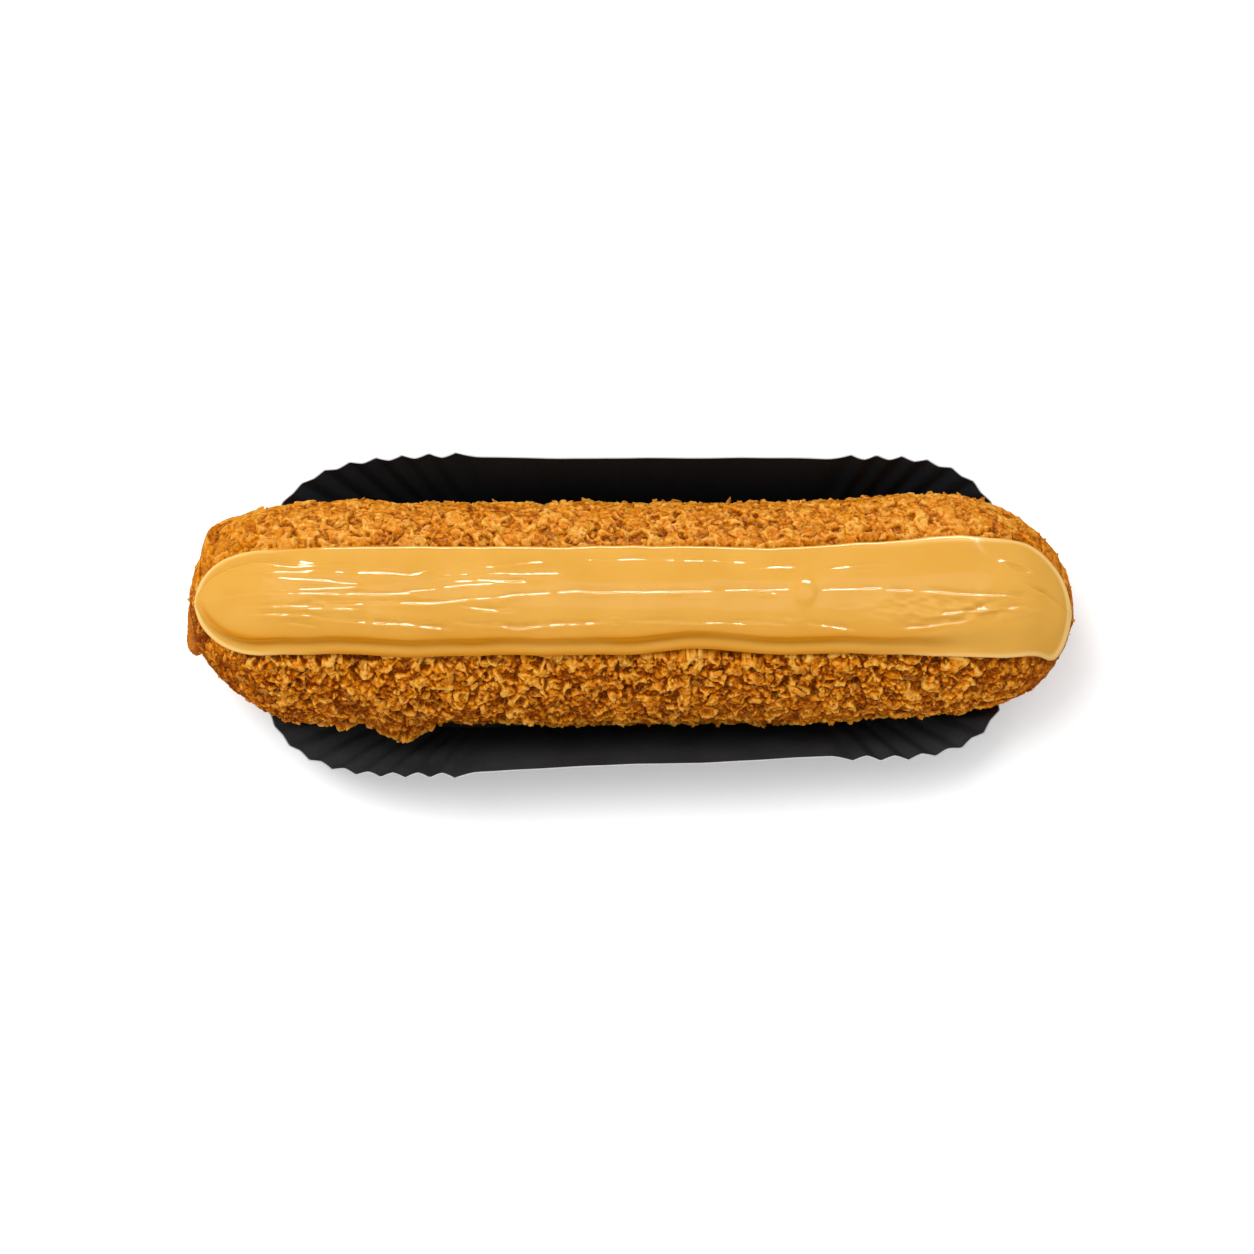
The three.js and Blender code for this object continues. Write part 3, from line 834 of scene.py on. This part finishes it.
def place_of(tree):
    """Object coordinates, in metres."""
    return add(tree, "ShaderNodeTexCoord").outputs["Object"]


def noise_of(tree, size, detail=2.0, roughness=0.5):
    """Noise with features of about that size in millimetres."""
    inputs = {"Vector": place_of(tree), "Scale": 1 / (size * MM), "Detail": detail, "Roughness": roughness}
    return add(tree, "ShaderNodeTexNoise", inputs).outputs["Fac"]


def ranged(tree, value, low, high, to_low=0.0, to_high=1.0):
    """A value carried from one range to another, and held there."""
    inputs = {"Value": value, "From Min": low, "From Max": high, "To Min": to_low, "To Max": to_high}
    return add(tree, "ShaderNodeMapRange", inputs).outputs["Result"]


def sum_of(tree, operation, a, b=0.0):
    """Two values added, subtracted or multiplied, or the size of one."""
    return add(tree, "ShaderNodeMath", {0: a, 1: b}, operation=operation).outputs[0]


def swing(tree, value, share):
    """A value from 0 to 1 as a change to either side of nothing: (value - 0.5) times a share."""
    return sum_of(tree, "MULTIPLY", sum_of(tree, "SUBTRACT", value, 0.5), share)


def mixed(tree, share, a, b):
    """Two colours mixed by a share."""
    return add(tree, "ShaderNodeMix", {0: share, 6: a, 7: b}, data_type="RGBA").outputs[2]


def new_group(name, inputs, outputs):
    """An empty shader group: inputs of (name, socket kind, default) and outputs of (name, socket kind)."""
    group = bpy.data.node_groups.new(name, "ShaderNodeTree")
    for key, kind, default in inputs:
        group.interface.new_socket(key, in_out="INPUT", socket_type=kind).default_value = default
    for key, kind in outputs:
        group.interface.new_socket(key, in_out="OUTPUT", socket_type=kind)
    return group, group.nodes.new("NodeGroupInput"), group.nodes.new("NodeGroupOutput")


def baked_tint_group():
    """The colour of baked crumb by a level of painted light and shade: painted shade in crevices, golden on
    crags, and pale on their tips, partly their own colour and partly painted highlight.

    The level is swung by flecks, by each chunk's own tone and by patches. Pale curled lines and dark
    pinholes, whose darkness is painted shade for small pits, lie over it, each where a noise crosses a level,
    and a crumb's rim is paler."""
    name = "baked_tint"
    if name in bpy.data.node_groups:
        return bpy.data.node_groups[name]
    colour, number = "NodeSocketColor", "NodeSocketFloat"
    inputs = [(key, colour, (0.5, 0.2, 0.05, 1)) for key in ("Deep", "Brown", "Golden", "Pale")]
    inputs += [("Depth", number, 0.5), ("Tone", number, 0.5), ("Rim", number, 0.0)]
    group, given, result = new_group(name, inputs, [("Color", colour)])
    deep, brown, golden, pale, depth, tone, rim = [given.outputs[key] for key, _, _ in inputs]
    level = sum_of(group, "MULTIPLY", depth, 0.85)
    for change in (
        swing(group, noise_of(group, 0.55, 3.0, 0.65), 1.1),
        swing(group, tone, 0.55),
        swing(group, noise_of(group, 5.0), 0.5),
    ):
        level = sum_of(group, "ADD", level, change)
    # Painted shade in the crevices; the pale tips are partly the crust's own paler colour and partly painted
    # highlight.
    body = mixed(group, ranged(group, level, -0.1, 0.22), deep, brown)
    body = mixed(group, ranged(group, level, 0.22, 0.5), body, golden)
    body = mixed(group, ranged(group, level, 0.5, 1.05), body, pale)
    curl = sum_of(group, "ABSOLUTE", sum_of(group, "SUBTRACT", noise_of(group, 1.3, 1.0), 0.5))
    body = mixed(group, ranged(group, curl, 0.0, 0.04, 0.3, 0.0), body, pale)
    body = mixed(group, sum_of(group, "MULTIPLY", rim, 0.3), body, pale)
    # Pinholes painted dark: painted shade for small pits.
    hole = ranged(group, noise_of(group, 0.8, 1.0), 0.63, 0.7, 0.0, 0.6)
    group.links.new(mixed(group, hole, body, deep), result.inputs["Color"])
    return group


def fine_bump_group():
    """A bump of fine grain of a given size, over a surface's own normal."""
    name = "fine_bump"
    if name in bpy.data.node_groups:
        return bpy.data.node_groups[name]
    number = "NodeSocketFloat"
    inputs = [("Scale", number, 2000.0), ("Strength", number, 0.3), ("Height", number, 0.0001)]
    group, given, result = new_group(name, inputs, [("Normal", "NodeSocketVector")])
    grain = add(group, "ShaderNodeTexNoise", {
        "Vector": place_of(group),
        "Scale": given.outputs["Scale"],
        "Detail": 3.0,
        "Roughness": 0.6,
    })
    bump = add(group, "ShaderNodeBump", {
        "Strength": given.outputs["Strength"],
        "Distance": given.outputs["Height"],
        "Height": grain.outputs["Fac"],
    })
    group.links.new(bump.outputs["Normal"], result.inputs["Normal"])
    return group


def new_material(name):
    """A material with a Principled shader, ready to be given its colours."""
    material = bpy.data.materials.new(name)
    material.use_nodes = True
    return material, material.node_tree, material.node_tree.nodes["Principled BSDF"]


def fine_bump(tree, shader, size, strength, height):
    """Gives a shader grain of that size and height in millimetres."""
    inputs = {"Scale": 1 / (size * MM), "Strength": strength, "Height": height * MM}
    group = add(tree, "ShaderNodeGroup", node_tree=fine_bump_group())
    set_sockets(tree, group, inputs)
    tree.links.new(group.outputs["Normal"], shader.inputs["Normal"])


def rgba(colour):
    """A colour property as four numbers."""
    return (*colour, 1.0)


def baked_material(name, settings, rim, roughness):
    """Baked crust: the shared tint with its painted light and shade, a faint sugary gloss, a fine grain, and
    a little light let in.
    """
    material, tree, shader = new_material(name)
    tint = add(tree, "ShaderNodeGroup", node_tree=baked_tint_group())
    depth = value_of(tree, "depth")
    set_sockets(tree, tint, {
        "Deep": rgba(settings.deep),
        "Brown": rgba(settings.brown),
        "Golden": rgba(settings.golden),
        "Pale": rgba(settings.pale),
        "Depth": depth,
        "Tone": value_of(tree, "tone"),
    })
    if rim:
        set_sockets(tree, tint, {"Rim": value_of(tree, rim)})
    set_sockets(tree, shader, {
        "Base Color": tint.outputs["Color"],
        "Roughness": ranged(tree, noise_of(tree, 1.1, 1.0), 0.35, 0.65, roughness - 0.04, roughness + 0.14),
        "Subsurface Weight": 0.6,
        "Subsurface Radius": (1.0, 0.35, 0.06),
        "Subsurface Scale": 0.0011,
        "Specular IOR Level": 0.1,
        "Specular Tint": (1.0, 0.5, 0.1, 1),
        "Coat Weight": ranged(tree, depth, 0.6, 1.0, 0.0, 0.1),
        "Coat Roughness": 0.2,
    })
    fine_bump(tree, shader, 0.42, 0.9, 0.16)
    return material


def icing_material(settings):
    """Coffee fondant, wet: an even colour with paler swirls, painted shade on its front slopes and edge, and
    a painted highlight on its thin rims at both ends, partly their own paler colour.
    """
    material, tree, shader = new_material("coffee_icing")
    swirl = ranged(tree, noise_of(tree, 9.0), 0.35, 0.65)
    colour = mixed(tree, swirl, rgba(settings.colour), rgba(settings.pale))
    # Painted shade on the front slopes and along the front edge.
    colour = mixed(tree, value_of(tree, "pool"), colour, rgba(settings.deep))
    # Painted highlight on the thin rims at both ends, partly their own paler colour.
    colour = mixed(tree, sum_of(tree, "MULTIPLY", value_of(tree, "rim"), 0.55), colour, rgba(settings.rim))
    gloss = ranged(tree, noise_of(tree, 2.5), 0.3, 0.7, settings.roughness * 0.8, settings.roughness * 1.3)
    set_sockets(tree, shader, {
        "Base Color": colour,
        "Roughness": gloss,
        "Subsurface Weight": 0.35,
        "Subsurface Radius": (1.0, 0.5, 0.15),
        "Subsurface Scale": 0.0016,
        "IOR": 1.47,
    })
    fine_bump(tree, shader, 1.3, 0.25, 0.012)
    return material


def paper_material(settings):
    """Matt black baking paper: fine fibres, an uneven black, painted shade that makes the back wall deeper
    and bluer, and a pale cut edge.
    """
    material, tree, shader = new_material("black_paper")
    fibre = noise_of(tree, 0.5, 4.0, 0.7)
    cloud = noise_of(tree, 7.0)
    level = sum_of(tree, "ADD", sum_of(tree, "MULTIPLY", fibre, 0.5), sum_of(tree, "MULTIPLY", cloud, 0.5))
    body = mixed(tree, ranged(tree, level, 0.35, 0.65), rgba(settings.colour), rgba(settings.worn))
    # Painted light and shade: the back wall is painted deeper and bluer than the front.
    body = mixed(tree, value_of(tree, "scuffed"), rgba(settings.back), body)
    set_sockets(tree, shader, {
        "Base Color": mixed(tree, value_of(tree, "edge"), body, rgba(settings.edge)),
        "Roughness": ranged(tree, fibre, 0.3, 0.7, 0.5, 0.68),
        "Specular IOR Level": 0.2,
    })
    fine_bump(tree, shader, 0.45, 0.8, 0.09)
    return material


def caramel_material(settings):
    """Set caramelised juice at the crust's end: dark, clear and glossy."""
    material, tree, shader = new_material("caramel")
    patch = ranged(tree, noise_of(tree, 1.6, 3.0), 0.35, 0.65)
    set_sockets(tree, shader, {
        "Base Color": mixed(tree, patch, rgba(settings.caramel), rgba(settings.golden)),
        "Roughness": 0.3,
        "Subsurface Weight": 0.5,
        "Subsurface Radius": (1.0, 0.4, 0.1),
        "Subsurface Scale": 0.001,
    })
    fine_bump(tree, shader, 0.5, 0.5, 0.1)
    return material


def board_material():
    """Matt pale board, very slightly uneven."""
    material, tree, shader = new_material("pale_board")
    set_sockets(tree, shader, {
        "Base Color": mixed(tree, noise_of(tree, 3.0), rgba([0.89] * 3), rgba([0.91] * 3)),
        "Roughness": 0.9,
        "Specular IOR Level": 0.1,
    })
    return material


# Settings

def colour_of(name, description, default):
    """A colour property."""
    return FloatVectorProperty(name=name, description=description, default=default, subtype="COLOR",
                               min=0, max=1)


def length_of(name, description, default):
    """A length property, in metres."""
    return FloatProperty(name=name, description=description, default=default, unit="LENGTH")


def number_of(name, description, default, low=0.0, high=100.0):
    """A plain number property."""
    return FloatProperty(name=name, description=description, default=default, min=low, max=high)


def count_of(name, description, default):
    """A property that counts."""
    return IntProperty(name=name, description=description, default=default, min=1)


class EclairCrustSettings(PropertyGroup):
    """The crust: its colours, the size of its crags and how many loose crumbs lie on it."""

    crag: number_of("Crag size", "Size of the crags against the eclair's own", 1.0, 0.5, 2.0)
    flakes: count_of("Flakes", "How many large flakes are baked onto the crust", 300)
    shards: count_of("Shards", "How many narrow shards are baked onto the crust", 400)
    nuggets: count_of("Nuggets", "How many round crumbs are baked onto the crust", 900)
    # Painted shade: the colour painted in the crevices and the pinholes.
    deep: colour_of("Crevices", "Colour deep in the crust", (0.14, 0.02, 0.0004))
    brown: colour_of("Brown", "Colour of its darker chunks", (0.3, 0.072, 0.0008))
    golden: colour_of("Golden", "Colour of most of the crust", (0.5, 0.158, 0.0016))
    # Pale is the crumbs' own colour at their rims and curled lines, and partly painted highlight on the
    # crags' tips and the back.
    pale: colour_of("Pale", "Colour of the thin rims of the crumbs", (0.62, 0.335, 0.062))
    caramel: colour_of("Caramel", "Colour of the flap at the left end", (0.3, 0.075, 0.003))


class EclairIcingSettings(PropertyGroup):
    """The coffee icing: its thickness, its foot and its colours."""

    crown: length_of("Crown", "Thickness of the icing along its middle", 0.0034)
    foot: length_of("Foot", "Thickness of its thin edge", 0.00105)
    foot_width: length_of("Foot width", "Width of its thin edge", 0.0019)
    roughness: number_of("Roughness", "Roughness of its surface", 0.09, 0.0, 1.0)
    colour: colour_of("Colour", "Colour of the icing", (0.535, 0.275, 0.043))
    # Painted shade: the colour painted on the icing's front slopes and front edge, where shade falls.
    deep: colour_of("Painted_shade_front", "Colour where it has shade_painted along its front edge", (0.45, 0.165, 0.004))
    # Painted highlight: the pale colour painted on the thin edge at both ends, partly its own colour and
    # partly the light that it reflects.
    rim: colour_of("Rim", "Colour of its thin edge at both ends", (0.86, 0.6, 0.25))
    pale: colour_of("Pale swirls", "Colour of its paler swirls", (0.565, 0.298, 0.053))


class EclairCaseSettings(PropertyGroup):
    """The paper case: its paper, its pleats and its colours."""

    paper: length_of("Paper", "Thickness of the paper", 0.0002)
    pleat: length_of("Pleat depth", "How far a fold stands out at the rim", 0.00046)
    colour: colour_of("Black", "Colour of the paper", (0.019, 0.0205, 0.0225))
    # Painted shade: the back wall is painted in this darker, bluer black, to stand for shade and to offset
    # the warm light bounced onto it from the crust.
    back: colour_of("Back", "Colour of its back wall, which is less scuffed", (0.0035, 0.007, 0.011))
    worn: colour_of("Worn", "Colour of its fibres", (0.032, 0.034, 0.036))
    edge: colour_of("Cut edge", "Colour of its cut edge", (0.45, 0.45, 0.45))


class EclairStageSettings(PropertyGroup):
    """The studio: the camera's place and the lights."""

    distance: length_of("Distance", "From the camera to the eclair", 0.6)
    tilt: FloatProperty(name="Tilt", description="How far the camera leans to the front", subtype="ANGLE",
                        default=0.0785)
    key: number_of("Key light", "Power of the large light, in watts", 14.0)
    glint: number_of("Glint", "Power of the light low at the back, in watts", 42.0)
    sheen: number_of("Sheen", "Power of the wide light overhead, in watts", 4.0)
    fill: number_of("Fill", "Strength of the light from all round", 1.1)


# Operators

class ECLAIR_OT_crust(Operator):
    """Builds the bun's craggy crust in four parts: a left and a right half of its front and its back"""

    bl_idname = "eclair.crust"
    bl_label = "Crust"

    def execute(self, context):
        settings = context.scene.eclair_crust
        floor = context.scene.eclair_case.paper / MM
        material = baked_material("baked_crust", settings, None, 0.32)
        low, high, count = CRUST_ARC
        below, above = np.linspace(-90, low, HIDDEN_BELOW), np.linspace(high, 90, HIDDEN_ABOVE)
        back = np.concatenate([below[:-1], np.linspace(low, high, count, endpoint=False), above])
        halves = [self.half(settings, floor, "crust_back", back, material),
                  self.half(settings, floor, "crust_front", 180 - back[::-1], material)]
        Eclair.points, Eclair.normals, Eclair.tones = zip(*halves)
        return {"FINISHED"}

    def half(self, settings, floor, name, degrees, material):
        """The front or the back: its outer arc in relief, closed by a straight wall of points inside the bun.

        It is made as a left and a right piece, which meet at the middle ring."""
        x = stations(BUN_LEFT, BUN_RIGHT, BUN_CAPS, *CRUST_RINGS)[:, None]
        smooth = bun_surface(x, np.radians(degrees)[None, :], floor)
        out = grid_normals(smooth)
        calm = np.minimum(1, bun_section(x)[1] / 3)
        relief, tone = crust_relief(smooth, settings.crag)
        points = smooth + out * (relief * calm)[..., None]
        points[..., 2] = np.maximum(points[..., 2], floor)
        share = np.linspace(0, 1, CHORD_STEPS + 1)[None, 1:-1, None]
        chord = points[:, -1:] * (1 - share) + points[:, :1] * share
        rings = np.concatenate([points, chord], 1)
        hidden = np.full(chord.shape[:2], 0.5)
        # The crust's painted light and shade, for its colour.
        depth = np.concatenate([crust_painted_light(smooth, relief), hidden], 1)
        tones = np.concatenate([tone, hidden], 1)
        middle = len(rings) // 2
        core = np.array([x[middle, 0], 0.0, BUN_LEVEL])
        left_tip, right_tip = self.tip(BUN_LEFT), self.tip(BUN_RIGHT)
        for side, part, first, last in (("left", slice(0, middle + 1), left_tip, core),
                                        ("right", slice(middle, None), core, right_tip)):
            piece = loft_piece(name + "_" + side, first, rings[part], last, material, inner=CHORD_STEPS,
                               depth=depth[part], tone=tones[part])
            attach(piece, "root")
            if name == "crust_back" and side == "left":
                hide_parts("bun")
        return points, out, tone

    def tip(self, x):
        """The bun's end point."""
        centre, _, level, _, _ = bun_section(np.array(x))
        return np.array([x, centre, level])


class ECLAIR_OT_crumbs(Operator):
    """Bakes flakes, shards and round crumbs onto the crust"""

    bl_idname = "eclair.crumbs"
    bl_label = "Crumbs"

    def execute(self, context):
        settings = context.scene.eclair_crust
        material = baked_material("baked_crumb", settings, "rim", 0.3)
        for kind in CRUMBS:
            crumb_piece(kind, getattr(settings, kind), material)
        return {"FINISHED"}


class ECLAIR_OT_flap(Operator):
    """Builds the flap of set caramelised juice that hangs at the crust's left end"""

    bl_idname = "eclair.flap"
    bl_label = "Caramel flap"

    def execute(self, context):
        rng = np.random.default_rng(SEED + 64)
        marks = np.array(FLAP)
        share = np.linspace(0, 1, FLAP_RINGS)
        line = np.stack([np.interp(share, np.linspace(0, 1, len(marks)), column) for column in marks.T], -1)
        line = np.stack([blurred(column[:, None], 6)[:, 0] for column in line.T], -1)
        path, thickness = line[:, :3], line[:, 3]
        rings = tube_rings(path, thickness, FLAP_SIDES, FLAP_RAGGEDNESS, rng)
        material = caramel_material(context.scene.eclair_crust)
        piece = loft_piece("caramel_flap", path[0], rings, path[-1], material)
        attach(piece, "root")
        return {"FINISHED"}


class ECLAIR_OT_icing(Operator):
    """Builds the coffee icing with its foot, its crown and what has run and bubbled in it"""

    bl_idname = "eclair.icing"
    bl_label = "Icing"

    def execute(self, context):
        settings = context.scene.eclair_icing
        x = stations(ICING_LEFT, ICING_RIGHT, ICING_CAPS, *ICING_RINGS)[:, None]
        turn, even = np.linspace(0, np.pi, ICING_ACROSS), np.linspace(1, -1, ICING_ACROSS)
        across = (0.3 * np.cos(turn) + 0.7 * even)[None, :]
        under = np.linspace(-0.92, 0.92, ICING_UNDER)[None, :]
        sheets = [self.sheet(settings, x, across, True), self.sheet(settings, x, under, False)]
        points = np.concatenate(sheets, 1)
        # Painted shade along the icing's front slopes and front edge.
        pool = icing_painted_shade(settings, points[..., 0], points[..., 1])
        # Painted highlight at the rims of both ends.
        rim = icing_painted_rim_highlight(points[..., 0], points[..., 1])
        left_tip, right_tip = [self.sheet(settings, np.array([[tip]]), np.zeros((1, 1)), False)[0, 0]
                               for tip in (ICING_LEFT, ICING_RIGHT)]
        material = icing_material(settings)
        piece = loft_piece("coffee_icing", left_tip, points, right_tip, material, pool=pool, rim=rim)
        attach(piece, "root")
        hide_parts("icing")
        return {"FINISHED"}

    def sheet(self, settings, x, across, outer):
        """Points over the bun: a place in plan raised along the bun's normal by the icing's thickness there.

        The underside is sunk into the crust instead."""
        centre, _ = icing_plan(x)
        x, across = np.broadcast_arrays(x, across)
        half = np.where(across < 0, icing_half(x, -np.ones_like(x)), icing_half(x, np.ones_like(x)))
        y = centre + across * half
        step = 0.05
        slope_x = (bun_top(x + step, y) - bun_top(x - step, y)) / (2 * step)
        slope_y = (bun_top(x, y + step) - bun_top(x, y - step)) / (2 * step)
        out = unit(np.stack([-slope_x, -slope_y, np.ones_like(x)], -1))
        base = np.stack([x, y, bun_top(x, y)], -1)
        height = icing_height(settings, x, y) if outer else np.full(x.shape, -ICING_SINK)
        return base + out * height[..., None]


class ECLAIR_OT_case(Operator):
    """Builds the black paper case with its smooth sides and pleated ends"""

    bl_idname = "eclair.paper_case"
    bl_label = "Paper case"

    def execute(self, context):
        settings = context.scene.eclair_case
        outside, inside = case_walls(settings)
        rings = np.concatenate([outside, inside[::-1]])
        edge = np.zeros(rings.shape[:2])
        edge[len(outside) - 1:len(outside) + 1] = 1
        # Painted shade: from the front's colour to the back wall's darker one.
        scuffed = 1 - 0.9 * ease(rings[..., 1], 8, 20)
        below, above = np.zeros(3), np.array([0, 0, settings.paper / MM])
        material = paper_material(settings)
        piece = loft_piece("black_paper_case", below, rings, above, material, edge=edge, scuffed=scuffed)
        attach(piece, "root")
        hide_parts("paper_case")
        return {"FINISHED"}


class ECLAIR_OT_stage(Operator):
    """Sets up the pale floor, the soft lights and the camera nearly straight above"""

    bl_idname = "eclair.stage"
    bl_label = "Studio"

    def execute(self, context):
        settings = context.scene.eclair_stage
        self.make_floor()
        self.make_lights(settings)
        self.make_camera(settings)
        return {"FINISHED"}

    def make_floor(self):
        """A flat sheet of pale board, far wider than the picture, which no reflection shows."""
        corners = FLOOR_HALF * np.array([[-1, -1, 0], [1, -1, 0], [1, 1, 0], [-1, 1, 0]])
        quads, triangles = np.array([[0, 1, 2, 3]]), np.zeros((0, 3), int)
        floor = mesh_piece("floor", corners, quads, triangles, board_material())
        floor.visible_glossy = False

    def make_lights(self, settings):
        """A large soft key light from the back left and an even white sky, neither seen in reflections.

        Two more lamps are seen in reflections alone: a glint low at the back, and a wide sheen overhead."""
        world = bpy.data.worlds.new("studio")
        world.use_nodes = True
        world.node_tree.nodes["Background"].inputs["Color"].default_value = (1, 1, 1, 1)
        world.node_tree.nodes["Background"].inputs["Strength"].default_value = settings.fill
        world.cycles_visibility.glossy = False
        bpy.context.scene.world = world
        for name, (place, size, not_seen_by) in LAMPS.items():
            lamp = self.make_lamp(name, place, size, getattr(settings, name))
            setattr(lamp, not_seen_by, False)

    def make_lamp(self, name, place, size, power):
        """An oblong light of a size, aimed at the eclair."""
        light = bpy.data.lights.new(name, "AREA")
        light.shape = "RECTANGLE"
        light.size, light.size_y = size
        light.energy = power
        lamp = bpy.data.objects.new(name, light)
        lamp.location = place
        lamp.rotation_euler = (-lamp.location).to_track_quat("-Z", "Y").to_euler()
        bpy.context.scene.collection.objects.link(lamp)
        return lamp

    def make_camera(self, settings):
        """A long lens aimed at the eclair's widest level, leaning a little to the front."""
        camera = bpy.data.cameras.new("camera")
        camera.sensor_width = SENSOR
        camera.lens = SENSOR * settings.distance / (FRAMED * MM)
        eye = bpy.data.objects.new("camera", camera)
        back = Vector((0, -np.sin(settings.tilt), np.cos(settings.tilt)))
        eye.location = Vector(AIM) * MM + back * settings.distance
        eye.rotation_euler = (settings.tilt, 0, 0)
        bpy.context.scene.collection.objects.link(eye)
        bpy.context.scene.camera = eye
        bpy.context.scene.view_settings.view_transform = "Standard"


# Each operator, with the name of the settings that the panel lists under it
OPERATORS = (
    (ECLAIR_OT_crust, "eclair_crust"),
    (ECLAIR_OT_crumbs, None),
    (ECLAIR_OT_flap, None),
    (ECLAIR_OT_icing, "eclair_icing"),
    (ECLAIR_OT_case, "eclair_case"),
    (ECLAIR_OT_stage, "eclair_stage"),
)


class ECLAIR_PT_panel(Panel):
    """Lists the eclair's settings and what builds it"""

    bl_idname = "ECLAIR_PT_panel"
    bl_label = "Eclair"
    bl_space_type = "VIEW_3D"
    bl_region_type = "UI"
    bl_category = "Eclair"

    def draw(self, context):
        for operator, group in OPERATORS:
            box = self.layout.box()
            box.operator(operator.bl_idname)
            if group:
                settings = getattr(context.scene, group)
                for key in settings.__annotations__:
                    box.prop(settings, key)


SETTINGS = {
    "eclair_crust": EclairCrustSettings,
    "eclair_icing": EclairIcingSettings,
    "eclair_case": EclairCaseSettings,
    "eclair_stage": EclairStageSettings,
}
CLASSES = (*[operator for operator, _ in OPERATORS], ECLAIR_PT_panel)


def register():
    for key, group in SETTINGS.items():
        bpy.utils.register_class(group)
        setattr(bpy.types.Scene, key, PointerProperty(type=group))
    for item in CLASSES:
        bpy.utils.register_class(item)


def unregister():
    for item in reversed(CLASSES):
        bpy.utils.unregister_class(item)
    for key, group in SETTINGS.items():
        delattr(bpy.types.Scene, key)
        bpy.utils.unregister_class(group)


def main():
    register()
    bpy.ops.eclair.crust()
    bpy.ops.eclair.crumbs()
    bpy.ops.eclair.flap()
    bpy.ops.eclair.icing()
    bpy.ops.eclair.paper_case()
    bpy.ops.eclair.stage()


if __name__ == "__main__":
    main()
